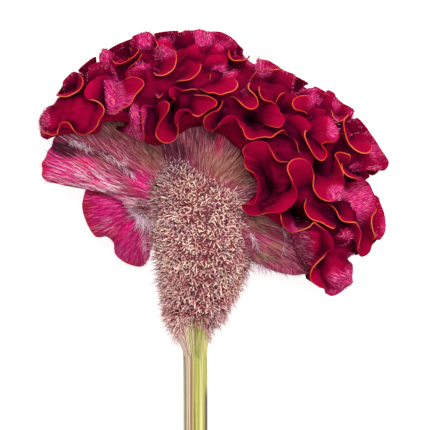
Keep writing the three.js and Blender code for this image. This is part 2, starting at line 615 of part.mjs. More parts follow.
const cockscomb = new THREE.Group();
cockscomb.add(piece("velvet_comb", comb, { color: 0xa3002c, roughness: 0.9, metalness: 0 }));
cockscomb.add(piece("silky_fan", fan, { color: 0xa8476a, roughness: 0.7, metalness: 0 }));
cockscomb.add(piece("floret_column", florets, { color: 0xb98a82, roughness: 0.8, metalness: 0 }));
cockscomb.add(piece("stem", stem, { color: 0xb5b765, roughness: 0.6, metalness: 0 }));

export default cockscomb;
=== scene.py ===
import math
import bpy
import numpy as np
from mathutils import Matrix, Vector
from mathutils.bvhtree import BVHTree


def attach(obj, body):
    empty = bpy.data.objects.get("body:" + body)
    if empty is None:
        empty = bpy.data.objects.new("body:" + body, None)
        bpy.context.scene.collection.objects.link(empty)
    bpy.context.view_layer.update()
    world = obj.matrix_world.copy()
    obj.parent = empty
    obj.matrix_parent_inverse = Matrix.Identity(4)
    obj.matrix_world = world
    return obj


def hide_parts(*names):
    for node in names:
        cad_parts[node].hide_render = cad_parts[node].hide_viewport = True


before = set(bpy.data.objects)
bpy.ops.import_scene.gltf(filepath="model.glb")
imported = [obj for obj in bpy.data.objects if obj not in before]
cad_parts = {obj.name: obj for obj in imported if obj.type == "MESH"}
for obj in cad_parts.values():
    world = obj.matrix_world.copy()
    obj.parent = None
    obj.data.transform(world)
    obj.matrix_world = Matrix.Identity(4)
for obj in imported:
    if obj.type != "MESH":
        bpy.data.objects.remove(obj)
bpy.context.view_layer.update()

MM = 0.001

# The comb's ridge. The head is a flattened fan whose folds all radiate from one place, the hub. The
# velvet sheet is gathered on a thick horseshoe ridge round the hub, which is the solid, fleshy part of
# the comb and shows only as the dark floor between the folds.
PX = 162 / 352 * MM  # one pixel of the photograph: the head is 162 mm and 352 pixels wide
HUB_PX = (197, 205)
HUB = np.array([-8.4, 40.5, 45]) * MM
RIDGE = [  # angle round the hub; nearest and furthest from it; how far the folds stand to front and back
    (-38, 60, 66, 6, 6), (-33, 57, 75, 20, 18), (-28, 52, 79.5, 27, 24), (-19, 44, 77, 34, 31),
    (-13, 34, 84, 39, 36), (-7, 25, 87, 42, 40), (0, 17, 85, 44, 42), (7, 19, 82, 45, 44),
    (13, 21, 89, 46, 46), (22, 23, 88, 47, 47), (33, 24, 84, 47, 47), (45, 26, 78.5, 48, 47),
    (55, 28, 75.5, 48, 47), (69, 30, 74.5, 48, 47), (80, 31, 80, 48, 47), (92, 31, 81.5, 48, 47),
    (106, 29, 83, 47, 47), (118, 27, 84, 45, 47), (128, 31, 84.5, 42, 46), (138, 48, 84, 34, 38),
    (147, 57, 82.5, 25, 27), (152, 67, 82, 15, 16), (156.5, 74, 79, 5, 5),
]
CROWN = 0.32  # where the ridge's highest line lies, from its inner to its outer side
FLOOR_REACH = 0.77  # the ridge's surface against that of the folds' edges


def along(table, x):
    """Every column of a table at each x, on a smooth curve through its rows."""
    rows = np.array(table, float)
    x = np.atleast_1d(np.asarray(x, float))
    i = np.clip(np.searchsorted(rows[:, 0], x) - 1, 0, len(rows) - 2)
    a, b = rows[i], rows[i + 1]
    before, after = rows[np.maximum(i - 1, 0)], rows[np.minimum(i + 2, len(rows) - 1)]
    span = b[:, :1] - a[:, :1]
    t = np.clip((x[:, None] - a[:, :1]) / span, 0, 1)
    slope_a = (b - before)[:, 1:] / (b - before)[:, :1] * span
    slope_b = (after - a)[:, 1:] / (after - a)[:, :1] * span
    a, rise = a[:, 1:], (b - a)[:, 1:]
    return a + t * (slope_a + t * (3 * rise - 2 * slope_a - slope_b + t * (slope_a + slope_b - 2 * rise)))


def ridge_at(angle):
    """The ridge's section at each angle: its highest line, and how far it reaches from there each way."""
    inner, outer, front, back = along(RIDGE, angle).T * MM
    centre = inner + CROWN * (outer - inner)
    return centre, centre - inner, outer - centre, front, back


def ridge_point(angle, turn, reach):
    """Points of the ridge: turn goes round it, 0 outermost, 90 to the front, 180 to the hub, -90 back."""
    angle, turn = np.broadcast_arrays(np.asarray(angle, float), np.asarray(turn, float))
    shape = angle.shape
    centre, inward, outward, front, back = [v.reshape(shape) for v in ridge_at(angle.ravel())]
    across, up = np.cos(np.radians(turn)), np.sin(np.radians(turn))
    r = centre + across * np.where(across > 0, outward, inward) * reach
    z = up * np.where(up > 0, front, back) * reach
    return np.stack([r * np.cos(np.radians(angle)), r * np.sin(np.radians(angle)), z], -1) + HUB


def ridge_place(points):
    """The angle round the hub and the turn round the ridge of each point."""
    p = points - HUB
    angle = np.degrees(np.arctan2(p[:, 1], p[:, 0]))
    angle = np.where(angle < -90, angle + 360, angle)
    centre, inward, outward, front, back = ridge_at(angle)
    r = np.hypot(p[:, 0], p[:, 1]) - centre
    across = r / np.where(r > 0, outward, inward)
    up = p[:, 2] / np.where(p[:, 2] > 0, front, back)
    return angle, np.degrees(np.arctan2(up, across))


def in_photo(points):
    """Where points lie in the photograph."""
    return (points[..., 0] - HUB[0]) / PX + HUB_PX[0], HUB_PX[1] - (points[..., 1] - HUB[1]) / PX


def nearness(spots, place, power=2):
    """How near spots in the photograph lie to a place: x, y, half its width and height."""
    (px, py), (x, y, across, down) = spots, place
    return np.exp(-((px - x) / across) ** power - ((py - y) / down) ** power)


def toned(points, places):
    """How strongly each point takes a tone that has these places: x, y, half the width and height, strength."""
    spots = in_photo(points)
    total = np.zeros(spots[0].shape)
    for *place, strength in places:
        total = np.maximum(total, strength * nearness(spots, place))
    return total


def ripple(points, size, seed):
    """A smooth unevenness between about -1 and 1, whose bumps are about size across: nine plane waves
    that run every way."""
    draw = np.random.default_rng(seed)
    total = np.zeros(points.shape[:-1])
    for _ in range(9):
        way = draw.normal(size=3)
        way *= 2 * math.pi / size / np.linalg.norm(way) * draw.uniform(0.6, 1.5)
        total += np.sin(points @ way + draw.uniform(0, 2 * math.pi))
    return total / 4


def deselect():
    if bpy.context.object and bpy.context.object.mode != "OBJECT":
        bpy.ops.object.mode_set(mode="OBJECT")
    bpy.ops.object.select_all(action="DESELECT")


def wrapped(name, rings, marks=None, chart=None):
    """A closed skin: a grid with a row for each ring, bent so that each row closes on itself, with the
    seam welded, both ends capped and the faces turned outwards. marks are values for each point, and
    chart is its UV map, with one column more than the rings have."""
    deselect()
    count, round_count = rings.shape[:2]
    bpy.ops.mesh.primitive_grid_add(x_subdivisions=round_count, y_subdivisions=count - 1, size=1)
    piece = bpy.context.object
    piece.name = piece.data.name = name
    mesh = piece.data
    closed = np.concatenate([rings, rings[:, :1]], axis=1)
    mesh.vertices.foreach_set("co", closed.ravel())
    for mark, values in (marks or {}).items():
        layer = mesh.attributes.new(mark, "FLOAT", "POINT")
        values = np.concatenate([values, values[:, :1]], axis=1)
        layer.data.foreach_set("value", values.astype(np.float32).ravel())
    if chart is not None:
        corner = np.empty(len(mesh.loops), np.int32)
        mesh.loops.foreach_get("vertex_index", corner)
        mesh.uv_layers.active.data.foreach_set("uv", chart.reshape(-1, 2)[corner].astype(np.float32).ravel())
    bpy.ops.object.mode_set(mode="EDIT")
    bpy.ops.mesh.select_all(action="SELECT")
    bpy.ops.mesh.remove_doubles(threshold=1e-7)
    bpy.ops.mesh.select_all(action="DESELECT")
    bpy.ops.mesh.select_non_manifold(extend=False)
    bpy.ops.mesh.fill_holes(sides=0)
    bpy.ops.mesh.select_all(action="SELECT")
    bpy.ops.mesh.normals_make_consistent(inside=False)
    bpy.ops.object.mode_set(mode="OBJECT")
    bpy.ops.object.shade_smooth()
    return piece


def joined(name, pieces):
    deselect()
    for piece in pieces:
        piece.select_set(True)
    bpy.context.view_layer.objects.active = pieces[0]
    bpy.ops.object.join()
    piece = bpy.context.object
    piece.name = piece.data.name = name
    return piece


def new_material(name):
    """A material with only its surface shader, and a maker for its other nodes."""
    material = bpy.data.materials.new(name)
    material.use_nodes = True
    tree = material.node_tree
    surface = tree.nodes["Principled BSDF"]

    def node(kind, inputs=None, **settings):
        made = tree.nodes.new(kind)
        for setting, value in settings.items():
            setattr(made, setting, value)
        for key, value in (inputs or {}).items():
            if isinstance(value, bpy.types.NodeSocket):
                tree.links.new(value, made.inputs[key])
            else:
                made.inputs[key].default_value = value
        return made

    def link(a, b):
        tree.links.new(a, b)

    return material, surface, node, link


def ramp(node, value, stops):
    """A colour ramp through (place, colour) stops."""
    made = node("ShaderNodeValToRGB", {0: value})
    band = made.color_ramp
    while len(band.elements) < len(stops):
        band.elements.new(0.5)
    for element, (place, colour) in zip(band.elements, stops):
        element.position = place
        element.color = (*colour, 1)
    return made.outputs["Color"]


def mixed(node, share, a, b, blend="MIX"):
    """Two colours mixed: each may be a socket or a plain colour."""
    a, b = [v if isinstance(v, bpy.types.NodeSocket) else (*v, 1) for v in (a, b)]
    made = node("ShaderNodeMix", {0: share, 6: a, 7: b}, data_type="RGBA", blend_type=blend)
    return made.outputs[2]


def carried(node, name):
    """The values that a piece's mesh carries under a name."""
    return node("ShaderNodeAttribute", attribute_name=name).outputs["Fac"]


def noise(node, place, scale, detail):
    return node("ShaderNodeTexNoise", {"Vector": place, "Scale": scale, "Detail": detail}).outputs["Fac"]


def total_of(node, a, b):
    return node("ShaderNodeMath", {0: a, 1: b}, operation="ADD").outputs[0]


def scaled(node, value, factor, offset):
    return node("ShaderNodeMath", {0: value, 1: factor, 2: offset}, operation="MULTIPLY_ADD").outputs[0]


def rising(node, value, low, high):
    """A share that rises from 0 to 1 while the value goes from low to high."""
    return node("ShaderNodeMapRange", {"Value": value, "From Min": low, "From Max": high}).outputs["Result"]


def finished(node, link, surface, colour, settings, height=None, strength=0.0, distance=0.0):
    """The surface shader's colour, its constants and, where there is a height, its bumps."""
    link(colour, surface.inputs["Base Color"])
    for name, value in settings.items():
        surface.inputs[name].default_value = value
    if height is not None:
        bump = node("ShaderNodeBump", {"Height": height, "Strength": strength, "Distance": distance})
        link(bump.outputs["Normal"], surface.inputs["Normal"])


def streak_group():
    """The streaks that the comb's silk, the fan and the stem's rind all show: noise that is drawn out
    along the piece, by how close its streaks lie across it and along it."""
    group = bpy.data.node_groups.new("streaks", "ShaderNodeTree")
    group.interface.new_socket("UV", in_out="INPUT", socket_type="NodeSocketVector")
    for name in ("Across", "Along", "Detail", "Roughness"):
        group.interface.new_socket(name, in_out="INPUT", socket_type="NodeSocketFloat")
    group.interface.new_socket("Streak", in_out="OUTPUT", socket_type="NodeSocketFloat")
    start, end, scale, drawn, streak = [group.nodes.new(kind) for kind in (
        "NodeGroupInput", "NodeGroupOutput", "ShaderNodeCombineXYZ", "ShaderNodeMapping", "ShaderNodeTexNoise")]
    scale.inputs["Z"].default_value = 1
    streak.inputs["Scale"].default_value = 1
    for a, b in (
        (start.outputs["Across"], scale.inputs["X"]), (start.outputs["Along"], scale.inputs["Y"]),
        (start.outputs["UV"], drawn.inputs["Vector"]), (scale.outputs["Vector"], drawn.inputs["Scale"]),
        (drawn.outputs["Vector"], streak.inputs["Vector"]), (start.outputs["Detail"], streak.inputs["Detail"]),
        (start.outputs["Roughness"], streak.inputs["Roughness"]), (streak.outputs["Fac"], end.inputs["Streak"]),
    ):
        group.links.new(a, b)
    return group


STREAKS = streak_group()


def streaks(node, uv, across, lengthwise, detail, roughness=0.5):
    values = {"UV": uv, "Across": across, "Along": lengthwise, "Detail": detail, "Roughness": roughness}
    return node("ShaderNodeGroup", values, node_tree=STREAKS).outputs["Streak"]


def velvet():
    """Velvet of the comb: painted shade and light make it near-black crimson in the depths and glowing red
    towards the edges, and darker and purpler where it is less open; silvery magenta silk with fine streaks
    where frost says so, and waxy orange where orange does."""
    material, surface, node, link = new_material("comb_velvet")
    place = node("ShaderNodeTexCoord").outputs["Object"]
    patch = noise(node, place, 70, 2)
    # Painted shade and light: rise paints the velvet darker where it lies deep between the folds and glowing red
    # towards the edges.
    depth = total_of(node, carried(node, "rise"), scaled(node, patch, 0.9, -0.47))
    red = ramp(node, depth, [
        (0.0, (0.022, 0.0008, 0.006)), (0.25, (0.085, 0.0010, 0.015)), (0.50, (0.19, 0.0010, 0.024)),
        (0.75, (0.27, 0.0010, 0.030)), (1.0, (0.32, 0.0012, 0.034)),
    ])
    grain = noise(node, place, 1300, 2)
    shade = ramp(node, grain, [(0.35, (0.45, 0.45, 0.45)), (0.65, (1, 1, 1))])
    colour = mixed(node, 0.35, red, shade, "MULTIPLY")
    # Painted shade: the less open a point, the darker and purpler its colour; the most open points are painted a little
    # brighter.
    painted_shade_and_light = ramp(node, carried(node, "open"), [
        (0.28, (0.12, 0.40, 0.45)), (0.56, (0.48, 0.60, 0.70)), (0.76, (0.95, 0.95, 0.95)),
        (0.93, (1.22, 1.1, 1.1)),
    ])
    colour = mixed(node, 1.0, colour, painted_shade_and_light, "MULTIPLY")

    uv = node("ShaderNodeUVMap", uv_map="UVMap").outputs["UV"]
    streak = streaks(node, uv, 24, 3.2, 4)
    silk = ramp(node, streak, [
        (0.30, (0.24, 0.001, 0.045)), (0.46, (0.42, 0.003, 0.098)), (0.58, (0.63, 0.038, 0.19)),
        (0.70, (0.84, 0.30, 0.43)),
    ])
    silkiness = total_of(node, carried(node, "frost"), noise(node, place, 110, 4))
    colour = mixed(node, rising(node, silkiness, 0.72, 1.12), colour, silk)
    wax = ramp(node, patch, [
        (0.35, (0.46, 0.015, 0.012)), (0.5, (0.66, 0.070, 0.025)), (0.62, (0.80, 0.16, 0.055)),
    ])
    colour = mixed(node, carried(node, "orange"), colour, wax)
    finished(node, link, surface, colour, {
        "Roughness": 0.85, "Specular IOR Level": 0.0,
        "Sheen Weight": 0.15, "Sheen Roughness": 0.3, "Sheen Tint": (1.0, 0.03, 0.15, 1),
    }, height=scaled(node, streak, 0.8, grain), strength=0.3, distance=0.0004)
    return material


VELVET = velvet()

UNEVEN = [  # gaps and swells seen between the folds: x, y, half the width and height, rise of the floor
    (252, 119, 9, 8, -0.2), (286, 105, 6, 8, -0.2), (320, 167, 5, 10, -0.2), (294, 213, 10, 10, -0.3),
    (340, 153, 6, 7, -0.2), (356, 136, 4, 7, -0.2), (343, 205, 5, 12, -0.2), (322, 264, 7, 10, -0.2),
    (173, 113, 4, 10, -0.2), (264, 193, 11, 8, -0.25), (127, 55, 6, 4, -0.2), (165, 68, 6, 5, -0.15),
    (75, 112, 30, 18, 0.10), (100, 75, 24, 12, 0.07), (140, 75, 16, 8, 0.06), (100, 92, 12, 10, 0.05),
    (150, 82, 14, 10, 0.06), (270, 115, 9, 10, 0.06), (320, 122, 12, 16, 0.05), (300, 122, 8, 10, 0.05),
    (258, 155, 14, 12, 0.05), (300, 175, 9, 14, 0.04), (232, 102, 10, 8, 0.05), (195, 103, 14, 8, 0.04),
    (315, 240, 14, 14, 0.06), (325, 212, 12, 10, 0.03), (362, 198, 10, 16, 0.04), (303, 280, 10, 10, -0.4),
]
PILLOWS = [  # swellings that fill a fold: x, y, half the width and height, rise
    (336, 272, 15, 17, 0.22), (113, 98, 5, 16, 0.19), (136.5, 123, 6, 17, 0.21), (47, 119, 8, 11, 0.2),
    (305, 243, 13, 17, 0.2),
]
NOTCHES = [(119, 132, 14, 10), (70, 144, 34, 7.5)]  # where the fan shows under the folds: the same, no rise
NOTCH_DEPTH = 0.85
PAINTED_GLOWS = [(316, 241, 18, 17, 0.65), (166, 122, 9, 16, 0.4)]  # painted light: where faces are painted redder, as if lit brighter: the same, and how much
WAXY_PLACES = [(320, 288, 11, 11, 1)]  # where an edge is orange although it turns away from the hub
SILKY_PLACES = [  # where the photograph shows silky magenta: x, y, half its width and height, strength
    (163, 54, 13, 7, 1), (140, 66, 12, 5, 0.7), (117, 99, 8.5, 19, 1.35), (136, 122, 9, 22, 1.25),
    (45, 121, 10, 12, 1.4), (69, 68, 5, 10, 0.7), (103, 55, 9, 8, 0.9), (145, 38, 7, 10, 1), (165, 38, 12, 5, 0.8),
    (203, 38, 8, 11, 1), (224, 72, 14, 6, 1), (244, 82, 7, 12, 1), (257, 63, 8, 8, 0.9),
    (264, 72, 9, 5, 1), (312, 88, 12, 6, 0.8), (315, 98, 7, 7, 0.8), (291, 132, 6, 5, 0.7),
    (333, 128, 7, 16, 0.8), (336, 193, 10, 8, 1.1), (360, 199, 15, 19, 0.92), (345, 234, 9, 5, 0.7),
    (342, 281, 14, 15, 1.2), (294, 243, 8, 20, 0.75), (336, 105, 5, 8, 0.7), (352, 112, 8, 6, 0.55),
    (375, 155, 8, 12, 0.55), (383, 225, 5, 10, 0.5), (155, 95, 6, 7, 0.8), (225, 45, 12, 6, 0.6), (352, 166, 8, 6, 0.6),
]
FLOOR_START = -34  # the angle where the floor begins, just inside the comb's lowest lobe
FLOOR_END_SHARE = 0.6  # how far the floor's ends narrow
FLOOR_END_LENGTH = 6  # the angle over which they do
FLOOR_RINGS, FLOOR_SIDES = 220, 150
FLOOR_BUMPS = [(0.035, 14, 3), (0.025, 6, 4), (0.009, 3, 6)]  # height as a share, size in mm, seed
FLOOR_CLEAR = 0.5 * MM  # its least height over the table
FLOOR_CHART = (0.12, 0.02)  # UV for each degree round the hub and round the ridge
angles = np.linspace(FLOOR_START, RIDGE[-1][0], FLOOR_RINGS)[:, None]
turns = np.linspace(0, 360, FLOOR_SIDES, endpoint=False)[None, :]
angles, turns = np.broadcast_arrays(angles, turns)
opening = np.clip((angles - FLOOR_START) / FLOOR_END_LENGTH, 0, 1) ** 0.5
floor_reach = FLOOR_REACH * (FLOOR_END_SHARE + (1 - FLOOR_END_SHARE) * opening)
skin = ridge_point(angles, turns, floor_reach)
spots, in_front = in_photo(skin), skin[..., 2] > HUB[2]
for place in NOTCHES:
    floor_reach = floor_reach * (1 - NOTCH_DEPTH * nearness(spots, place, 4))
bumps = sum(height * ripple(skin, size * MM, seed) for height, size, seed in FLOOR_BUMPS)
lift = np.zeros(bumps.shape)
for *place, rise in UNEVEN:
    lift += rise * nearness(spots, place)
lift = np.where(in_front, np.clip(lift, -0.6, 0.1), 0)
swell, near = np.zeros(bumps.shape), np.zeros(bumps.shape)
for *place, rise in PILLOWS:
    this = nearness(spots, place, 4) * in_front
    swell, near = np.maximum(swell, rise * this), np.maximum(near, this)
floor_down = near * toned(skin, SILKY_PLACES)
floor_skin = ridge_point(angles, turns, floor_reach + bumps + lift + swell)
floor_skin[..., 2] = np.maximum(floor_skin[..., 2], FLOOR_CLEAR)
chart = np.stack([angles * FLOOR_CHART[0], turns * FLOOR_CHART[1]], -1)
chart = np.concatenate([chart, chart[:, :1] + [0, 360 * FLOOR_CHART[1]]], axis=1)
# Painted shade: the floor's rise, and so its red, is lower where it lies low and higher where bumps, lifts and pillows
# raise it.
painted_shade_by_height = 0.53 + 3.4 * bumps + 2.3 * lift + 1.2 * swell
ridge = wrapped("comb_ridge", floor_skin, {"rise": painted_shade_by_height, "frost": floor_down}, chart)
ridge.data.materials.append(VELVET)
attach(ridge, "root")
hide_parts("velvet_comb")

# The comb's folds. Each is one thin sheet, gathered so that its edge winds while its root runs smoothly
# along the ridge. Both faces are velvet, the side that looks away from the hub is silky and paler, and
# the edge is a fine orange bead. These are the folds that the photograph shows, each traced by its edge.
BRIM = 0.52  # the brim's height over the fan, against the ridge's front
ROOT_REACH = 0.52  # where a sheet is rooted, against the surface that the edges reach
END_REACH = 0.74  # how far it reaches at its two ends
END_LENGTH = 7 * MM  # over which it rises there to its full height
FRONT_FOLDS = [
    {"edge": [38, 134, 42, 130, 46, 133, 52, 135, 57, 134, 59, 129, 61, 124, 66, 122.5, 70, 124, 74,
     130, 78, 133.5, 83, 135, 89, 133, 94, 130, 98, 125, 100, 120, 104, 115, 105, 110, 102, 105, 97,
     102, 91, 100, 87, 97, 84.5, 92, 86, 87, 90, 81, 95, 78, 101, 75.5, 109, 73, 117, 70]},
    {"edge": [75, 74, 80, 76, 83, 80, 83, 85, 80, 90.5, 74, 94.5, 67, 97, 60, 96.5, 55, 93, 54, 89]},
    {"edge": [36, 134, 38, 127, 40, 118, 45, 108, 51, 100, 54, 94], "reach": 1, "bare": True},
    {"edge": [61, 97, 57, 102, 54.5, 110, 55, 117, 59, 122], "reach": 0.86},
    {"edge": [54, 92, 58, 85, 65, 77, 73, 69, 81, 60], "reach": 1, "bare": True},
    {"edge": [80, 74, 85, 67, 92, 62.5, 100, 61, 108, 62, 114, 66, 118, 71], "reach": 0.97, "lean": (4, 14),
     "bare": True},
    {"edge": [119, 84, 121, 78, 127, 71, 134, 66.5, 141, 63, 150, 60, 157, 61], "reach": 0.95,
     "lean": (18, 16), "bare": True},
    {"edge": [86, 57, 92, 53, 99, 51, 103, 47, 109, 43, 116, 42], "reach": 1, "bare": True},
    {"edge": [111, 55, 112, 60, 116, 64, 121, 65, 127, 62.5, 133, 59, 137.5, 54, 139.3, 48, 138.5, 43]},
    {"edge": [144.5, 48, 143, 53, 140.5, 58.5, 137, 63, 131, 67, 125, 71.5, 119, 74], "reach": 0.92},
    {"edge": [120, 53, 125, 50.5, 129, 46], "reach": 0.8},
    {"edge": [119, 41, 126, 38, 134, 34, 142, 31.5, 152, 30, 163, 28.8], "reach": 1, "bare": True},
    {"edge": [112, 86, 119, 80, 126, 79, 132, 77.5, 138, 79, 143, 82, 144, 86, 141, 90.5, 137, 94.5,
     134, 99, 131.5, 104.5, 126, 108, 121, 110, 117, 114, 114, 118, 110, 118.5, 107.5, 115], "lean":
     (-20, -8)},
    {"edge": [160, 103, 152, 104, 145, 104.5, 141, 108, 143, 117, 142.5, 125, 143.5, 132, 143, 137.5,
     138, 140, 132, 139], "lean": (-5, 0)},
    {"edge": [163, 90, 164, 95, 161, 99, 156, 99, 153.5, 95, 156, 90.5], "reach": 0.92},
    {"edge": [151, 66, 153, 72.5, 157, 76.5, 163, 76.8, 170, 73.5, 174.5, 69, 176.5, 62, 176, 55, 172,
     50, 164, 49, 156, 52]},
    {"edge": [150, 45, 153, 48, 158, 47, 157, 41, 163, 37, 170, 35.5, 176, 37.5], "reach": 0.97},
    {"edge": [163, 29, 172, 31, 180, 30, 187, 28.5, 194, 29, 200, 27.5, 208, 30, 219, 29.5, 228, 33,
     235, 38, 241, 46], "reach": 1, "bare": True},
    {"edge": [176, 51, 184, 49, 190, 45, 196, 43, 201, 46, 203, 50], "reach": 0.96},
    {"edge": [173, 78, 175.5, 82.5, 181, 82.3, 188, 81, 194, 78, 198.5, 73.5, 200.3, 68.5, 199, 63, 193,
     61, 186, 64]},
    {"edge": [199, 62, 204, 58, 211, 55, 219, 54, 226, 55, 229, 60, 228, 66], "reach": 0.95},
    {"edge": [208, 44, 214, 41, 220, 42.5, 225, 46, 227, 52], "reach": 0.95},
    {"edge": [209, 66, 211, 70, 212, 75, 210, 80], "reach": 0.93},
    {"edge": [231, 46, 228.5, 52, 229.5, 58, 233, 61, 239, 61.5, 245, 60.3, 249, 58, 250, 53]},
    {"edge": [168, 103, 170, 99, 176, 99.5, 171, 94, 171, 88, 176, 86.5, 183, 90, 190, 89.5, 196, 88.5,
     201, 86.5], "reach": 0.93},
    {"edge": [150, 104, 157, 101, 164, 101, 168.5, 104, 168.5, 110, 165, 116, 161, 122, 157, 129, 156.5,
     134, 159, 139, 164, 142.5, 170, 142.5, 175, 139.5, 178, 134, 178, 127, 176, 120, 176, 114, 179,
     110, 185, 108.8, 190, 110.5, 193, 115, 198, 117, 204, 114, 210, 109.5, 215, 107, 216, 102, 212,
     98.5, 205, 96.5, 198, 95.5, 194, 91]},
    {"edge": [198, 87, 201, 91.5, 206, 94, 214, 93.7, 220, 95.5, 227, 93.5, 233, 91.5, 237, 87, 236.5,
     81, 233.5, 77, 238, 72, 232, 68, 224, 70]},
    {"edge": [223.5, 97, 222, 104, 219.5, 110, 213.5, 113, 208, 116, 204.5, 121, 205, 127, 210, 131,
     216, 129, 221, 123, 226, 117.5, 232, 115, 237.5, 118, 241, 124, 243, 131, 245.5, 137, 250, 140,
     258, 138.5, 265, 137.5, 271, 138, 276, 134.5, 281, 131.5, 287, 129, 293, 131.5]},
    {"edge": [229, 95, 234, 98, 240, 103.5, 246, 108.5, 252, 110, 257, 106.5, 257, 101, 253.5, 95, 249,
     91, 248, 87, 251, 82, 254, 77]},
    {"edge": [252, 55, 258, 58, 262, 57, 270, 58.5, 278, 63, 285, 68, 292, 71, 299, 74, 305, 79],
     "reach": 1, "bare": True},
    {"edge": [251, 73, 257, 70.5, 264, 69.5, 271, 71, 277, 70, 284, 68], "reach": 0.97},
    {"edge": [262, 80, 259, 87, 259, 94, 262, 100, 268, 102.3, 274, 102.5, 278, 107, 281, 113, 284.5,
     117, 283, 123, 278, 127.3, 271, 128.5, 265, 125.5]},
    {"edge": [292, 90.5, 286, 93, 280, 95, 276.5, 98, 276, 103], "reach": 0.95},
    {"edge": [305, 80, 312, 83, 319, 87, 326, 92, 331, 89.5, 336, 92, 340, 99, 346, 103.5, 353, 107,
     360, 113, 365, 121], "reach": 1, "bare": True},
    {"edge": [326, 106, 321, 101, 314, 97, 306, 96.5, 298, 97.5, 293, 101, 292, 106, 294.5, 110.5, 301,
     111.8, 308, 112.5, 314, 110.5]},
    {"edge": [286, 115, 293, 114, 300, 115.5, 306, 119, 311, 124.5, 309, 128.5, 304.5, 132, 304, 137,
     307.5, 145, 312, 153.5, 316.5, 159, 321, 160.5, 325, 157, 325.5, 151.5, 320.5, 145, 325, 142.7,
     332, 141.7, 338, 138.5, 339.5, 132, 337, 125, 332.5, 118, 326, 112, 318, 109.5]},
    {"edge": [330, 104, 331, 112, 334, 119.5, 339, 122, 344, 119, 347, 113], "reach": 0.95},
    {"edge": [352, 113, 346, 117, 343, 124, 344, 133, 347, 142, 352, 148.5, 359, 152.5, 366, 153, 370.5,
     149, 370, 141, 366, 133]},
    {"edge": [364, 124, 371, 131, 378, 140, 384, 150, 389, 157, 391, 162, 388, 168, 379, 168.5, 369,
     169], "reach": 1, "bare": True},
    {"edge": [305, 156, 298, 150, 296, 141, 293, 133, 287, 130], "reach": 0.88},
    {"edge": [290, 161.5, 284, 163.5, 278, 162, 274, 157.5, 271.5, 151, 269, 144, 262, 141.5, 254,
     142.5, 247, 146.5, 243, 152, 245, 158, 244.5, 164, 247, 169, 252, 172, 256.5, 176, 258.8, 182,
     258.5, 190, 258, 198, 255, 203.5, 249, 203, 242, 205.5, 244.5, 210.5, 250, 214.5, 257, 215, 265,
     213, 273, 211.8, 281, 211.5, 288, 208.5, 294, 203, 297, 196, 297, 189, 293.5, 182.5, 289.5, 176.5,
     287, 170, 288, 164.5, 293, 160.5, 300, 159.3, 307, 161, 312, 166, 314, 173, 312.5, 181, 312.5, 188,
     316, 195, 322, 199.2, 330, 200.3, 337, 199, 342, 194, 345, 186, 344, 177, 340.5, 169, 337, 161,
     334, 155.5, 338, 152.8, 346, 154.5, 353, 158, 359, 162]},
    {"edge": [348, 159.5, 342.5, 162, 341, 167, 343.5, 173, 350, 177, 358, 179, 366, 179.5, 372, 176,
     366, 170], "reach": 0.95},
    {"edge": [360, 179, 367, 181, 373, 186, 376, 194, 376.5, 203, 375, 211, 371.5, 216, 371, 224, 372.5,
     231, 374.5, 238, 374.5, 245, 371.5, 253, 366, 256.5, 361, 252, 359, 246, 361, 239, 362, 233, 359.5,
     227, 355, 222.5, 348, 222.3, 341.5, 221, 337.5, 216, 338, 209, 338.5, 202]},
    {"edge": [374, 184, 379, 192, 382, 202, 386, 212, 387.5, 223, 387, 232, 382.5, 239, 377, 236.5],
     "reach": 1, "bare": True},
    {"edge": [310, 196, 305, 198, 303.5, 204, 305, 211, 309, 217.5, 315, 220.3, 321, 222, 327, 226, 333,
     228.5, 339, 228, 345, 225]},
    {"edge": [283, 212, 281, 218, 283, 225, 288, 230.5, 295, 231.5, 303, 229, 310, 226, 313, 222.5, 320,
     227, 328, 233, 333.5, 241, 333.5, 249, 328, 253.5, 321, 258, 314.5, 264.5, 310.5, 272, 311, 280,
     316, 284.5, 323, 287.5, 328, 294, 335, 296.5, 344, 292, 351, 284, 354.5, 275, 355, 267, 350, 261,
     348, 254], "lean": (-14, -4)},
    {"edge": [336, 240, 341, 234, 348, 230, 353, 234, 353, 241, 350, 248], "reach": 0.95, "bare": True},
]
COARSE_STEP = 2.5 * MM
FINE_STEP = 1.0 * MM
ROOT_EASING, SWING_EASING = 200, 12  # rounds of smoothing that turn an edge into its root's line
SPREAD = 0.6  # how far the root winds the other way
FLARE = 1.8
ROWS = np.array([0, 0.16, 0.32, 0.46, 0.58, 0.69, 0.78, 0.86, 0.92, 0.965, 1.0])
RIM_ROWS = slice(7, 10)
ROOT_HALF, EDGE_HALF = 1.0 * MM, 0.22 * MM  # half the sheet's thickness
BEAD = 0.24 * MM
BEAD_ROWS = [1.01, 1.02, 1.03, 1.02, 1.01]
ROLL_BACK, ROLL_OUT = 1.6 * MM, 0.5 * MM  # how far an edge rolls over where it turns away
SWAYS = [(0.7, 11), (0.25, 4.5)]  # how far a face sways, and how wide, in mm
LEAST_SWING = 2.5 * MM
floor_out = floor_skin - ridge_point(angles, turns, 0.3)
floor_out /= np.linalg.norm(floor_out, axis=-1, keepdims=True)
floor_lie = -np.gradient(floor_skin, axis=1)
floor_lie /= np.linalg.norm(floor_lie, axis=-1, keepdims=True)
# the floor's and every fold's faces, for the hairs that are sown on them once all the folds are there
DOWN = [(floor_skin, floor_lie, floor_out, floor_down)]
RIMS = []  # the edges that roll over in plain velvet, for the fuzz along them


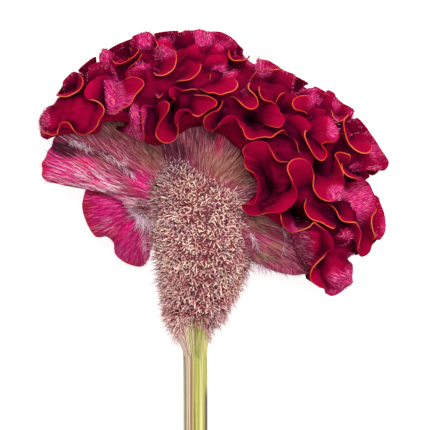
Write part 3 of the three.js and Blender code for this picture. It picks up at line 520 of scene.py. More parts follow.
def smooth_line(points, step):
    """Points spaced evenly along a smooth curve through a few points."""
    p = np.concatenate([[2 * points[0] - points[1]], points, [2 * points[-1] - points[-2]]])
    t = np.linspace(0, 1, 14, endpoint=False)[:, None]
    parts = []
    for p0, p1, p2, p3 in zip(p, p[1:], p[2:], p[3:]):
        d0, d1, d2 = [max(np.linalg.norm(b - a) ** 0.5, 1e-9) for a, b in ((p0, p1), (p1, p2), (p2, p3))]
        m1 = ((p1 - p0) / d0 - (p2 - p0) / (d0 + d1) + (p2 - p1) / d1) * d1
        m2 = ((p2 - p1) / d1 - (p3 - p1) / (d1 + d2) + (p3 - p2) / d2) * d1
        parts.append(p1 + t * (m1 + t * (3 * (p2 - p1) - 2 * m1 - m2 + t * (2 * (p1 - p2) + m1 + m2))))
    dense = np.concatenate([*parts, [points[-1]]])
    run = np.concatenate([[0], np.cumsum(np.linalg.norm(np.diff(dense, axis=0), axis=1))])
    places = np.linspace(0, run[-1], max(4, math.ceil(run[-1] / step) + 1))
    return np.stack([np.interp(places, run, dense[:, i]) for i in range(3)], -1), places


def middle_of(line, rounds):
    """A smooth line along the middle of a winding one."""
    line = line.copy()
    for _ in range(rounds):
        line[1:-1] = (line[:-2] + 2 * line[1:-1] + line[2:]) / 4
    return line


def unit(v):
    return v / np.maximum(np.linalg.norm(v, axis=-1, keepdims=True), 1e-12)


def step_between(low, high, x):
    t = np.clip((x - low) / (high - low), 0, 1)
    return t * t * (3 - 2 * t)


def fold(name, edge, seed, lean=(0, 0), frost=0.08, bare=False, step=FINE_STEP):
    """One gathered fold. Its face leaves the root steeply and flares towards the edge. The edge is orange
    where it turns towards the hub, and rolls over in plain velvet where it turns away."""
    top, run = smooth_line(edge, step)
    coarse, places = smooth_line(edge, COARSE_STEP)
    middle = middle_of(coarse, ROOT_EASING)
    middle = np.stack([np.interp(run / run[-1], places / places[-1], middle[:, i]) for i in range(3)], -1)
    shift = np.array([lean[0] * PX, -lean[1] * PX, 0])
    out = top - middle
    angle, turn = ridge_place(middle + shift - SPREAD * middle_of(out, SWING_EASING))
    root = ridge_point(angle, turn, ROOT_REACH)
    high = ridge_point(angle, turn, 1)
    ends = np.minimum(run, run[-1] - run)
    inside = (END_REACH - ROOT_REACH) / (1 - ROOT_REACH)
    full = inside + (1 - inside) * step_between(0, END_LENGTH, ends)
    s = ROWS[None, :, None] * full[:, None, None]
    face = root[:, None] + (high - root)[:, None] * s + (top - high)[:, None] * s ** FLARE

    top_angle, top_turn = ridge_place(top)
    ahead_turn = top_turn + np.where(top_turn > 0, 3, -3)
    hubward = unit(ridge_point(top_angle, ahead_turn, 1) - ridge_point(top_angle, top_turn, 1))
    facing_hub = (out * hubward).sum(1) / np.maximum(np.linalg.norm(out, axis=1), LEAST_SWING)
    orange = step_between(-0.45, 0.1, facing_hub) * (not bare)
    orange = np.maximum(orange, toned(top, WAXY_PLACES) * (top[:, 2] > HUB[2]))
    roll = (1 - orange)[:, None, None] * step_between(0.72, 1.0, ROWS)[None, :, None] ** 2
    away = unit(top - HUB)[:, None]
    face = face - away * roll * ROLL_BACK + unit(out)[:, None] * roll * ROLL_OUT

    tangent = unit(np.gradient(face, axis=0))
    rise = unit(np.gradient(face, axis=1))
    normal = unit(np.cross(tangent, rise))
    sway = sum(ripple(face, size * MM, seed + i) * height * MM for i, (height, size) in enumerate(SWAYS))
    face = face + normal * (sway * np.sin(math.pi * np.minimum(ROWS, 0.94)))[..., None]
    half = (ROOT_HALF + (EDGE_HALF - ROOT_HALF) * ROWS)[None, :, None]
    left, right = face + normal * half, (face - normal * half)[:, ::-1]
    tip, side, ahead = face[:, -1:], normal[:, -1:], rise[:, -1:]
    arc = np.radians([0, 45, 90, 135, 180])[None, :, None]
    bead = tip + ahead * 0.2 * MM + (side * np.cos(arc) + ahead * np.sin(arc)) * BEAD
    rings = np.concatenate([left, bead, right], axis=1)

    outward = unit((face - HUB) * [1, 1, 0.15])
    facing = (normal * outward).sum(-1)
    below = 1 - step_between(0.80, 0.97, ROWS)
    frosting = [frost * step_between(0.05, 0.6, f) * below for f in (facing, -facing)]
    in_front = top[:, 2].mean() > HUB[2]
    frosting = [np.maximum(f, in_front * toned(face, SILKY_PLACES)) for f in frosting]
    ones = np.ones((len(face), len(BEAD_ROWS)))
    # rise carries painted shade and light: lower towards the root, where the folds are deep, lower on the bare folds,
    # and raised where the glows paint light.
    level = ROWS * full[:, None] * (0.7 if bare else 1) + in_front * toned(face, PAINTED_GLOWS)
    marks = {
        "rise": np.concatenate([level, ones, level[:, ::-1]], 1),
        "frost": np.concatenate([frosting[0], 0 * ones, frosting[1][:, ::-1]], 1),
        "orange": np.concatenate([0 * level, ones * (orange * full)[:, None], 0 * level], 1),
    }
    if bare:
        RIMS.append((face[:, RIM_ROWS].reshape(-1, 3), normal[:, RIM_ROWS].reshape(-1, 3)))
    for sign, silky in ((1, frosting[0]), (-1, frosting[1])):
        DOWN.append((face + sign * normal * half, rise, sign * normal, silky * full[:, None]))
    height = np.concatenate([ROWS, BEAD_ROWS, ROWS[::-1], [0]]) * 2.2
    u, v = np.broadcast_arrays(run[:, None] / (10 * MM), height[None, :])
    piece = wrapped(name, rings, marks, np.stack([u, v], -1))
    piece.data.materials.append(VELVET)
    return piece


def traced(edge, reach=1.0):
    """A traced edge, laid on the surface that the folds' edges reach, with its overhanging brim."""
    px = np.array(edge, float).reshape(-1, 2)
    x, y = (px[:, 0] - HUB_PX[0]) * PX, (HUB_PX[1] - px[:, 1]) * PX
    centre, inward, outward, front, back = ridge_at(np.degrees(np.arctan2(y, x)))
    r = np.hypot(x, y) - centre
    across = r / (np.where(r > 0, outward, inward) * reach)
    dome = np.sqrt(1 - np.minimum(across ** 2, 0.99))
    z = front * reach * np.where(across < 0, np.maximum(dome, BRIM), dome)
    return np.stack([x, y, z], -1) + HUB


front = []
for number, traits in enumerate(FRONT_FOLDS):
    traits = dict(traits)
    edge = traced(traits.pop("edge"), traits.pop("reach", 1.0))
    front.append(fold(f"front_fold_{number}", edge, 100 + number, **traits))
half = len(front) // 2
for name, some in (("comb_front_left", front[:half]), ("comb_front_right", front[half:])):
    piece = joined(name, some)
    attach(piece, "root")

# The folds over the comb's top and back, which the photograph doesn't show. The sheet goes on there in
# five long rows that wind round the ridge in uneven loops, and lies flat on the table where its weight
# presses it down.
BACK_FOLDS = [
    {"turn": -14, "start": -28, "end": 149, "loops": 14, "swing": 9.5, "phase": 0},
    {"turn": -39, "start": -29, "end": 149, "loops": 13, "swing": 11.0, "phase": 2},
    {"turn": -65, "start": -27, "end": 147, "loops": 11, "swing": 11.5, "phase": 4},
    {"turn": -93, "start": -24, "end": 145, "loops": 9, "swing": 12.0, "phase": 1},
    {"turn": -134, "start": -18, "end": 144, "loops": 6, "swing": 14.0, "phase": 5},
]
BACK_STEP = 1.35 * MM
BACK_FROST = 0.5
BACK_CLEAR = 0.05 * MM  # the folds' least height over the table


def looping(turn, start, end, loops, swing, phase):
    """An edge that winds along the ridge: it swings to both sides of its turn and doubles back a little."""
    t = np.linspace(0, 1, loops * 8 + 1)
    wave = 2 * math.pi * loops * t
    wave = wave + 0.9 * np.sin(0.31 * wave + phase) + 0.35 * np.sin(0.83 * wave + 2 * phase) + phase
    uneven = 1 + 0.16 * np.sin(0.37 * wave + phase) + 0.10 * np.sin(0.61 * wave + 2 * phase)
    angle = start + (end - start) * (t - 0.16 / loops * uneven * np.sin(2 * wave))
    drift = 2.5 * np.sin(0.23 * wave + 1.7 * phase)
    return ridge_point(angle, turn + drift + swing * uneven * np.sin(wave), 1)


for number, row in enumerate(BACK_FOLDS):
    piece = fold(
        f"comb_back_{number + 1}", looping(**row), 300 + number, frost=BACK_FROST, bare=number == 0, step=BACK_STEP)
    points = np.array([v.co for v in piece.data.vertices])
    points[:, 2] = np.maximum(points[:, 2], BACK_CLEAR)
    piece.data.vertices.foreach_set("co", points.ravel())
    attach(piece, "root")

# The comb's painted shade. Light dies away between the folds, so the velvet is painted darker and purpler there: each
# point of the comb is marked with how open it is, which is how far one sees from it, up to SIGHT.
SIGHT = 15 * MM
LOOKS, LOOK_TURN = 12, 2.4  # how many ways one looks from a point, and the turn from each to the next
LOOK_FROM = 0.2 * MM  # how far over the velvet
SHADE_EASING = 4
comb = ["comb_ridge", "comb_front_left", "comb_front_right"]
comb = [bpy.data.objects[name] for name in comb + [f"comb_back_{i + 1}" for i in range(len(BACK_FOLDS))]]


def vectors(layer, kind):
    values = np.empty(len(layer) * 3, np.float32)
    layer.foreach_get(kind, values)
    return values.reshape(-1, 3).astype(float)


corners, triangles = [], []
for piece in comb:
    piece.data.calc_loop_triangles()
    faces = np.empty(len(piece.data.loop_triangles) * 3, np.int32)
    piece.data.loop_triangles.foreach_get("vertices", faces)
    triangles.append(faces.reshape(-1, 3) + sum(map(len, corners)))
    corners.append(vectors(piece.data.vertices, "co"))
seen = BVHTree.FromPolygons(np.concatenate(corners).tolist(), np.concatenate(triangles).tolist())
draw = np.random.default_rng(5)
for piece, places in zip(comb, corners):
    stands = vectors(piece.data.vertex_normals, "vector")
    level = unit(np.cross(stands, draw.normal(size=stands.shape)))
    other = np.cross(stands, level)
    total = np.zeros(len(places))
    for look in range(LOOKS):
        tilt = math.sqrt((look + 0.5) / LOOKS)
        spin = LOOK_TURN * look
        ways = stands * math.sqrt(1 - tilt * tilt) + tilt * (level * math.cos(spin) + other * math.sin(spin))
        starts = places + stands * LOOK_FROM
        for i, (start, way) in enumerate(zip(starts.tolist(), ways.tolist())):
            distance = seen.ray_cast(start, way, SIGHT)[3]
            total[i] += 1 if distance is None else distance / SIGHT
    ends = np.empty(len(piece.data.edges) * 2, np.int32)
    piece.data.edges.foreach_get("vertices", ends)
    ends = ends.reshape(-1, 2)
    open_sky = total / LOOKS
    for _ in range(SHADE_EASING):
        around, count = open_sky.copy(), np.ones(len(places))
        for a, b in (ends.T, ends.T[::-1]):
            np.add.at(around, a, open_sky[b])
            np.add.at(count, a, 1)
        open_sky = around / count
    layer = piece.data.attributes.new("open", "FLOAT", "POINT")
    layer.data.foreach_set("value", open_sky.astype(np.float32))

# The comb's down. Where the velvet is silky it carries short, pale, glossy hairs that lie towards the
# edge, each a slim three-sided blade rooted in the sheet.
POINTED = (1.0, 0.8, 0)  # a hair's width at its root, middle and tip
TABLE_CLEAR = 0.02 * MM  # the least height of hairs and stem over the table


def tapered(roots, ways, ups, lengths, widths, curls, marks, slims=(1.0, 0.9, 0.45)):
    """Many slim three-sided blades as one set of vertices, triangles and marks. Each starts at a root,
    runs along its way and curls towards its up by its curl. slims is its taper, which may end in 0, a
    point."""
    sides = unit(np.cross(ways, ups))
    ups = unit(np.cross(sides, ways))
    corner = np.radians([90, 210, 330])
    section = sides[:, None] * np.cos(corner)[None, :, None] + ups[:, None] * np.sin(corner)[None, :, None]
    parts = []
    for share, slim in zip((0, 0.5, 1), slims):
        centre = roots + ways * (lengths * share)[:, None] + ups * (lengths * curls * share ** 2)[:, None]
        parts.append((centre[:, None] + section * (widths * slim / 2)[:, None, None])[:, :3 if slim else 1])
    points = np.concatenate(parts, axis=1)
    faces = [(0, 2, 1), (0, 1, 4), (0, 4, 3), (1, 2, 5), (1, 5, 4), (2, 0, 3), (2, 3, 5)]
    if slims[2]:
        faces += [(3, 4, 7), (3, 7, 6), (4, 5, 8), (4, 8, 7), (5, 3, 6), (5, 6, 8), (6, 7, 8)]
    else:
        faces += [(3, 4, 6), (4, 5, 6), (5, 3, 6)]
    corners = points.shape[1]
    faces = (np.array(faces)[None] + corners * np.arange(len(roots))[:, None, None]).reshape(-1, 3)
    values = {"tip": np.tile([0, 0, 0, 0.5, 0.5, 0.5, 1, 1, 1][:corners], (len(roots), 1))}
    for mark, value in marks.items():
        values[mark] = np.repeat(value[:, None], corners, axis=1)
    return points.reshape(-1, 3), faces, {k: v.ravel() for k, v in values.items()}


def loose_mesh(name, points, faces, values):
    mesh = bpy.data.meshes.new(name)
    points[:, 2] = np.maximum(points[:, 2], TABLE_CLEAR)
    mesh.from_pydata(points.tolist(), [], faces.tolist())
    for mark, value in values.items():
        layer = mesh.attributes.new(mark, "FLOAT", "POINT")
        layer.data.foreach_set("value", value.astype(np.float32))
    piece = bpy.data.objects.new(name, mesh)
    bpy.context.scene.collection.objects.link(piece)
    return piece


def down_skin():
    material, surface, node, link = new_material("comb_down")
    colour = ramp(node, carried(node, "tint"), [
        (0.0, (0.16, 0.001, 0.03)), (0.3, (0.44, 0.004, 0.11)), (0.65, (0.70, 0.07, 0.23)), (1.0, (0.86, 0.36, 0.50)),
    ])
    finished(node, link, surface, colour, {"Roughness": 0.6, "Specular IOR Level": 0.05})
    return material


DOWN_HAIRS = 14000
SILKY_FROM = 0.35  # the frost from which the velvet is downy
BARE_CHANCE = 0.01  # how seldom a hair stands on plain velvet
draw = np.random.default_rng(31)
places, lies, stands, frosts = [
    np.concatenate([part[i].reshape(-1, *part[i].shape[2:]) for part in DOWN]) for i in range(4)]
silky = np.clip(frosts - SILKY_FROM, 0, 1)
above = places[:, 2] > 2 * MM
chances = (silky + BARE_CHANCE) * np.linalg.norm(places - HUB, axis=1) * above
picked = draw.choice(len(places), DOWN_HAIRS, p=chances / chances.sum())
roots, ways, ups = places[picked], lies[picked], unit(stands[picked])
silkiness = np.clip(0.45 + 2 * silky[picked], 0, 1)
across = np.cross(ways, ups)
roots = roots + across * draw.normal(0, 0.35, DOWN_HAIRS)[:, None] * MM
roots = roots + ways * draw.normal(0, 0.6, DOWN_HAIRS)[:, None] * MM
ways = unit(ways + across * draw.normal(0, 0.38, DOWN_HAIRS)[:, None] + ups * 0.12)
hairs = loose_mesh("comb_down", *tapered(
    roots, ways, ups, draw.uniform(0.8, 2.0, DOWN_HAIRS) * MM, draw.uniform(0.14, 0.24, DOWN_HAIRS) * MM,
    draw.uniform(-0.05, 0.15, DOWN_HAIRS), {"tint": draw.uniform(0, 1, DOWN_HAIRS) * silkiness}, POINTED))
COMB_DOWN = down_skin()
hairs.data.materials.append(COMB_DOWN)
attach(hairs, "root")

# The fuzz along the comb's outline. Where an edge rolls over in plain velvet the same short hairs stand
# out from it every way, and blur it against what lies behind.
RIM_HAIRS = 6500
rims, stands = [np.concatenate([rim[i] for rim in RIMS]) for i in range(2)]
picked = draw.choice(len(rims), RIM_HAIRS)
roots = rims[picked] + draw.normal(0, 0.25, (RIM_HAIRS, 3)) * MM
ways = unit(unit((roots - HUB) * [1, 1, 0.3]) + draw.normal(0, 0.4, (RIM_HAIRS, 3)))
fuzz = loose_mesh("comb_fuzz", *tapered(
    roots - ways * 0.2 * MM, ways, unit(stands[picked]), draw.uniform(0.9, 2.0, RIM_HAIRS) * MM,
    draw.uniform(0.16, 0.28, RIM_HAIRS) * MM, draw.uniform(-0.2, 0.2, RIM_HAIRS),
    {"tint": draw.uniform(0, 0.85, RIM_HAIRS)}, POINTED))
fuzz.data.materials.append(COMB_DOWN)
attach(fuzz, "root")

# The fan. Below the comb its sheet narrows to a flat, pleated fan that is grown over with silky hairs,
# all combed outwards from the hub. Its left end is a free magenta lobe with a rounded velvet rim.
FAN = [  # angle round the hub; radius; half the thickness at the rim, to the front and to the back
    (-60, 14, 8, 8), (-48, 30, 9, 9), (-38, 52, 9, 9), (-30, 60, 10, 10), (-12, 55, 12, 12),
    (10, 46, 13, 13), (40, 46, 13, 13), (75, 47, 13, 13), (105, 47, 13, 13), (128, 52, 12, 12),
    (140, 64, 10, 11), (150, 71, 7, 8), (157, 72.5, 3, 5), (163, 73.4, 2, 3.5), (168, 73, 1.5, 3),
    (170.4, 71.6, 1.5, 3), (171.4, 68, 1.5, 3), (172.3, 48, 2.2, 3.4), (175.5, 37, 3.2, 4), (180, 32.5, 4, 4.5),
    (187, 28, 5, 5), (197, 20, 6, 6), (206, 14, 7, 7),
]
FAN_NECK = 8 * MM  # half its thickness at the hub
FAN_PLEATS = 11
FAN_PLEAT_HEIGHT = 1.1 * MM
LEFT_CREASES = [(1.6, 149, 2.6), (-2.2, 154.5, 2.8), (1.2, 162, 3.5)]  # height in mm, angle, half the width
FAN_WRINKLE = 0.16 * MM
RIM_THIN = 0.15  # the rim's thickness against what it is before it rounds off
SPRINGS = [  # where the fan's streaks and hairs seem to spring from: for each x, the x and y of that place
    (30, 165, 192), (60, 165, 199), (100, 165, 213), (145, 177, 207), (175, 192, 205), (200, 197, 205),
    (330, 203, 200),
]
TONES = {  # where the fan takes each tone in the photograph: x, y, half the width and height, strength
    "crimson": [
        (44, 165, 6, 18, 0.8), (136, 190, 9, 8, 0.5), (218, 141, 4, 14, 1), (301, 246, 10, 20, 0.9),
        (283, 264, 12, 4, 0.3), (240, 150, 5, 14, 0.4), (84, 163, 12, 4, 0.8),
    ],
    "magenta": [
        (52, 166, 16, 18, 1), (82, 166, 18, 9, 1), (100, 182, 20, 10, 0.7), (70, 176, 22, 8, 0.8),
        (140, 182, 12, 14, 0.8), (125, 200, 14, 8, 0.6), (110, 165, 10, 5, 0.4), (148, 195, 8, 10, 0.6),
        (84, 161, 12, 5, 1), (62, 170, 16, 14, 1), (218, 143, 3, 16, 0.7), (300, 240, 14, 16, 0.8),
        (290, 262, 14, 8, 0.25), (265, 240, 12, 10, 0.35),
        (180, 125, 14, 10, 0.6), (230, 125, 12, 8, 0.6), (130, 176, 12, 6, 0.6), (50, 145, 8, 8, 0.8),
    ],
    "tan": [
        (120, 130, 22, 10, 0.8), (150, 155, 14, 16, 1), (165, 170, 10, 10, 0.8), (105, 162, 14, 8, 0.6),
        (225, 168, 24, 16, 1), (205, 160, 10, 14, 0.7), (258, 222, 14, 10, 0.8), (272, 245, 16, 5, 0.8),
        (240, 180, 10, 10, 0.9), (190, 150, 14, 10, 0.4), (265, 256, 14, 4, 0.9),
    ],
    # dark: painted shade, in the pocket at the left and where the comb and its folds overhang the fan
    "dark": [
        (66, 149, 14, 7, 1.3), (57, 147, 7, 7, 1.2), (69, 154, 9, 3, 1.6), (105, 134, 18, 6, 0.6),
        (176, 155, 20, 13, 0.9), (213, 137, 5, 7, 0.8),
        (128, 171, 10, 3, 0.7), (104, 155, 8, 2.5, 0.8), (85, 156, 18, 4, 0.6), (195, 168, 8, 10, 0.5),
        (250, 150, 6, 20, 0.5), (290, 218, 14, 8, 0.8), (245, 235, 8, 20, 0.4),
    ],
    "silver": [
        (78, 143, 11, 4, 0.8), (122, 163, 10, 4, 0.6), (84, 172, 22, 8, 0.8), (108, 186, 18, 8, 1),
        (132, 203, 14, 6, 1), (287, 240, 3, 14, 0.8), (283, 230, 3, 6, 0.6), (246, 196, 4, 14, 0.4),
        (95, 188, 26, 4, 0.9), (60, 178, 14, 3, 0.8), (100, 178, 20, 3, 0.9),
    ],
}


def from_spring(points):
    """The way to each point from where its hairs spring, in the photograph's pixels, x right and y up."""
    px, py = in_photo(points)
    x, y = along(SPRINGS, px.ravel()).T
    return px - x.reshape(px.shape), y.reshape(px.shape) - py


def fan_point(angle, share, side):
    """Points of the fan's skin, with its low pleats, the creases across its left end, its rounded rim and
    fine wrinkles."""
    angle, share = np.broadcast_arrays(np.asarray(angle, float), np.asarray(share, float))
    radius, front, back = [v.reshape(angle.shape) * MM for v in along(FAN, angle.ravel()).T]
    depth = front if side > 0 else back
    eased = share * share * (3 - 2 * share)
    pleat = FAN_PLEAT_HEIGHT * share * np.sin(np.radians(FAN_PLEATS * 2 * angle) + 0.6 * side)
    half = FAN_NECK + (depth - FAN_NECK) * eased + pleat
    left = step_between(0.3, 0.8, share)
    for height, middle, width in LEFT_CREASES:
        half = half + height * MM * left * np.exp(-((angle - middle) / width) ** 2)
    r = radius * share * (1 + 0.004 * np.sin(np.radians(angle * 31)) + 0.004 * np.sin(np.radians(angle * 77)))
    flat = 0.85 - 0.4 * step_between(-20, -34, angle)  # where the rounding starts, nearer the hub at the right
    rim = np.sqrt(np.clip(1 - (np.maximum(share - flat, 0) / (1 - flat)) ** 2, 0, 1))
    z = side * half * (RIM_THIN + (1 - RIM_THIN) * rim)
    points = np.stack([r * np.cos(np.radians(angle)), r * np.sin(np.radians(angle)), z], -1) + HUB
    fine = np.sin(np.radians(angle * 151) + 9 * share) + 0.7 * np.sin(np.radians(angle * 263) - 5 * share)
    points[..., 2] += side * FAN_WRINKLE * fine * np.minimum(share * 2, 1)
    return points


FAN_COLUMNS = 420
FAN_ROWS = np.concatenate([np.linspace(0.03, 0.93, 34), [0.955, 0.975, 0.99, 1.0]])  # shares of the radius
angles, shares = np.linspace(FAN[0][0], FAN[-1][0], FAN_COLUMNS)[:, None], FAN_ROWS[None, :]
rings = np.concatenate([fan_point(angles, shares, 1), fan_point(angles, shares, -1)[:, ::-1]], axis=1)
right, up = from_spring(np.concatenate([rings, rings[:, :1]], axis=1))
turned = np.degrees(np.arctan2(up, right))
turned = np.where(turned < -90, turned + 360, turned)
chart = np.stack([turned, np.hypot(right, up) * PX / MM], -1)
fan = wrapped("fan", rings, {tone: toned(rings, TONES[tone]) for tone in TONES}, chart)


def silk_skin():
    """The fan's skin under its hairs: dull mauve, with tan, magenta, crimson and silver places, dark places
    of painted shade, and streaks that run the way that the hairs do."""
    material, surface, node, link = new_material("fan_silk")
    uv = node("ShaderNodeUVMap", uv_map="UVMap").outputs["UV"]
    streak = streaks(node, uv, 1.1, 0.09, 5, 0.65)
    band = streaks(node, uv, 0.35, 0.03, 3)
    base = ramp(node, streak, [
        (0.32, (0.070, 0.004, 0.022)), (0.45, (0.21, 0.019, 0.055)), (0.55, (0.36, 0.056, 0.102)),
        (0.68, (0.57, 0.19, 0.24)),
    ])
    tan = ramp(node, streak, [
        (0.32, (0.09, 0.012, 0.018)), (0.46, (0.25, 0.060, 0.056)), (0.57, (0.39, 0.135, 0.108)),
        (0.70, (0.56, 0.30, 0.23)),
    ])
    magenta = ramp(node, streak, [
        (0.32, (0.22, 0.001, 0.044)), (0.44, (0.46, 0.002, 0.10)), (0.57, (0.73, 0.012, 0.23)),
        (0.70, (0.86, 0.22, 0.44)),
    ])
    crimson = ramp(node, streak, [
        (0.30, (0.17, 0.001, 0.012)), (0.46, (0.42, 0.002, 0.035)), (0.60, (0.60, 0.010, 0.085)),
        (0.74, (0.76, 0.16, 0.26)),
    ])
    shift = scaled(node, band, 0.8, -0.4)

    def share(tone, high):
        return rising(node, total_of(node, carried(node, tone), shift), 0.2, high)

    colour = mixed(node, share("tan", 0.7), base, tan)
    colour = mixed(node, share("magenta", 0.7), colour, magenta)
    colour = mixed(node, share("crimson", 0.8), colour, crimson)
    # painted shade in the dark places
    colour = mixed(node, share("dark", 0.9), colour, (0.060, 0.004, 0.018))
    pale = rising(node, streak, 0.50, 0.60)
    silver = node("ShaderNodeMath", {0: share("silver", 0.8), 1: pale}, operation="MULTIPLY").outputs[0]
    colour = mixed(node, silver, colour, (0.78, 0.55, 0.62))
    finished(node, link, surface, colour, {
        "Roughness": 0.6, "Specular IOR Level": 0.05,
        "Sheen Weight": 0.1, "Sheen Roughness": 0.35, "Sheen Tint": (1.0, 0.6, 0.75, 1),
    }, height=total_of(node, streak, band), strength=0.5, distance=0.0006)
    return material


FAN_SILK = silk_skin()
fan.data.materials.append(FAN_SILK)
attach(fan, "root")
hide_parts("silky_fan")


# The fan's hairs. They lie close along it and point away from near the hub, finer and paler than its skin.
# Where two parts of the sheet meet at the left, they stand off it in silver tufts.
def fan_at(x, y, side):
    """Points of the fan's skin at places in the photograph."""
    right, up = (x - HUB_PX[0]) * PX, (HUB_PX[1] - y) * PX
    turned = np.degrees(np.arctan2(up, right))
    turned = np.where(turned < -70, turned + 360, turned)
    return fan_point(turned, np.minimum(np.hypot(right, up) / (along(FAN, turned)[:, 0] * MM), 0.985), side)


def hair_skin():
    material, surface, node, link = new_material("fan_hair")
    tint = carried(node, "tint")
    colour = ramp(node, tint, [(0.0, (0.08, 0.005, 0.02)), (0.5, (0.34, 0.065, 0.12)), (1.0, (0.68, 0.29, 0.36))])
    tan = ramp(node, tint, [(0.0, (0.10, 0.016, 0.02)), (0.5, (0.35, 0.15, 0.11)), (1.0, (0.62, 0.42, 0.30))])
    magenta = ramp(node, tint, [(0.0, (0.26, 0.001, 0.06)), (0.65, (0.62, 0.008, 0.19)), (1.0, (0.92, 0.34, 0.54))])
    crimson = ramp(node, tint, [(0.0, (0.22, 0.001, 0.02)), (0.6, (0.54, 0.004, 0.07)), (1.0, (0.80, 0.20, 0.30))])
    # hairs in the dark places take the painted shade too
    dark = (0.05, 0.008, 0.018)
    silver = ramp(node, tint, [
        (0.0, (0.10, 0.04, 0.06)), (0.35, (0.42, 0.17, 0.26)), (0.65, (0.80, 0.50, 0.63)), (1.0, (0.97, 0.90, 0.93)),
    ])
    for tone, tinted in (
        ("tan", tan), ("magenta", magenta), ("crimson", crimson), ("dark", dark), ("silver", silver),
    ):
        colour = mixed(node, carried(node, tone), colour, tinted)
    finished(node, link, surface, colour, {"Roughness": 0.5, "Specular IOR Level": 0.1})
    return material


FAN_HAIR = hair_skin()
HAIRS = 9500
HAIRS_IN_FRONT = 0.78
draw = np.random.default_rng(21)
sides = np.where(draw.uniform(0, 1, HAIRS) < HAIRS_IN_FRONT, 1, -1)
angle = draw.uniform(FAN[0][0] + 4, FAN[-1][0] - 4, HAIRS)
share = np.sqrt(draw.uniform(0.10, 0.86, HAIRS))
roots, further, beside = np.empty((HAIRS, 3)), np.empty((HAIRS, 3)), np.empty((HAIRS, 3))
for side in (1, -1):
    these = sides == side
    roots[these] = fan_point(angle[these], share[these], side)
    px, py = in_photo(roots[these])
    right, up = from_spring(roots[these])
    size = np.hypot(right, up)
    further[these] = fan_at(px + 2 * right / size, py - 2 * up / size, side)
    beside[these] = fan_at(px - 0.5 * up / size, py - 0.5 * right / size, side)
ways = unit(further - roots)
across = unit(beside - roots)
ups = unit(np.cross(ways, across))
ups *= np.sign(ups[:, 2:]) * sides[:, None]
ways = unit(ways + across * draw.normal(0, 0.16, HAIRS)[:, None] + ups * draw.uniform(0.02, 0.12, HAIRS)[:, None])
lengths = draw.uniform(4, 10, HAIRS) * (0.5 + 0.6 * share) * MM
room = (1.03 - share) * along(FAN, angle)[:, 0] * MM + 1 * MM
lengths = np.minimum(lengths, room)
marks = {tone: np.clip(toned(roots, TONES[tone]) * draw.uniform(0.5, 1.8, HAIRS), 0, 1) for tone in TONES}
marks["silver"] = np.clip(1.4 * marks["silver"], 0, 1) * (draw.uniform(0, 1, HAIRS) < 0.55)
marks["tint"] = np.maximum(draw.uniform(0, 1, HAIRS), 0.75 * marks["silver"])
hairs = loose_mesh("fan_hairs", *tapered(
    roots - ups * 0.1 * MM, ways, ups, lengths, draw.uniform(0.16, 0.30, HAIRS) * MM,
    draw.uniform(-0.08, 0.05, HAIRS), marks, POINTED))
hairs.data.materials.append(FAN_HAIR)
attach(hairs, "root")

TUFTS = [  # line of roots in the photograph, way there, spread, length, count, tone
    ((70, 140), (90, 148), (0.45, -1), 0.35, 4.0, 110, "silver"),
    ((98, 152), (112, 158), (0.8, -0.6), 0.3, 3.0, 25, "silver"),
    ((112, 158), (134, 176), (0.6, -0.8), 0.4, 4.5, 75, "silver"),
    ((129, 208), (142, 214), (-0.9, -0.25), 0.6, 5.0, 90, "silver"),
    ((138, 205), (152, 216), (-0.3, 0.5), 0.9, 5.5, 110, "tan"),
    # dark hairs stand for the shade inside the tuft: painted shade
    ((140, 204), (150, 212), (-0.6, 0.2), 0.9, 5.0, 40, "dark"),
    ((139, 212), (150, 220), (-0.1, -1), 0.35, 10.0, 150, "silver"),
    ((128, 211), (138, 216), (-0.4, -0.3), 0.6, 3.5, 140, "silver"),
    ((283, 227), (287, 240), (0.3, -1), 0.4, 3.2, 30, "silver"),
    ((283, 227), (287, 245), (0.5, -0.8), 0.4, 3.2, 60, "magenta"),
    ((287, 240), (282, 255), (-0.3, -1), 0.4, 3.0, 20, "silver"),
    ((251, 232), (258, 250), (0.3, -1), 0.5, 5.0, 50, "silver"),
    ((250, 212), (262, 232), (0.8, -0.5), 0.4, 5.0, 60, "tan"),
    ((256, 254), (272, 258), (1, -0.1), 0.25, 6.0, 90, "tan"),
    ((250, 262), (266, 266), (0.1, -1), 0.3, 7.0, 90, "silver"),
    ((266, 264), (300, 272), (0.5, -0.9), 0.4, 2.6, 120, "magenta"),
]
groups = []
for (x0, y0), (x1, y1), way, spread, length, count, tone in TUFTS:
    t = draw.uniform(0, 1, count)
    x, y = x0 + (x1 - x0) * t + draw.normal(0, 1.2, count), y0 + (y1 - y0) * t + draw.normal(0, 1.2, count)
    roots = fan_at(x, y, 1) + [0, 0, 0.1 * MM]
    ways = unit(np.array([way[0], way[1], 0.25]) + draw.normal(0, spread, (count, 3)) * [1, 1, 0.4])
    ups = np.tile([0.0, 0.0, 1.0], (count, 1))
    marks = {name: np.zeros(count) for name in TONES}
    marks[tone] = np.ones(count)
    marks["tint"] = draw.uniform(0, 1, count) ** (0.5 if tone == "silver" else 1)
    groups.append((roots, ways, ups, draw.uniform(0.4, 1, count) * length * MM,
                   draw.uniform(0.13, 0.27, count) * MM, draw.uniform(-0.3, 0.05, count), marks))

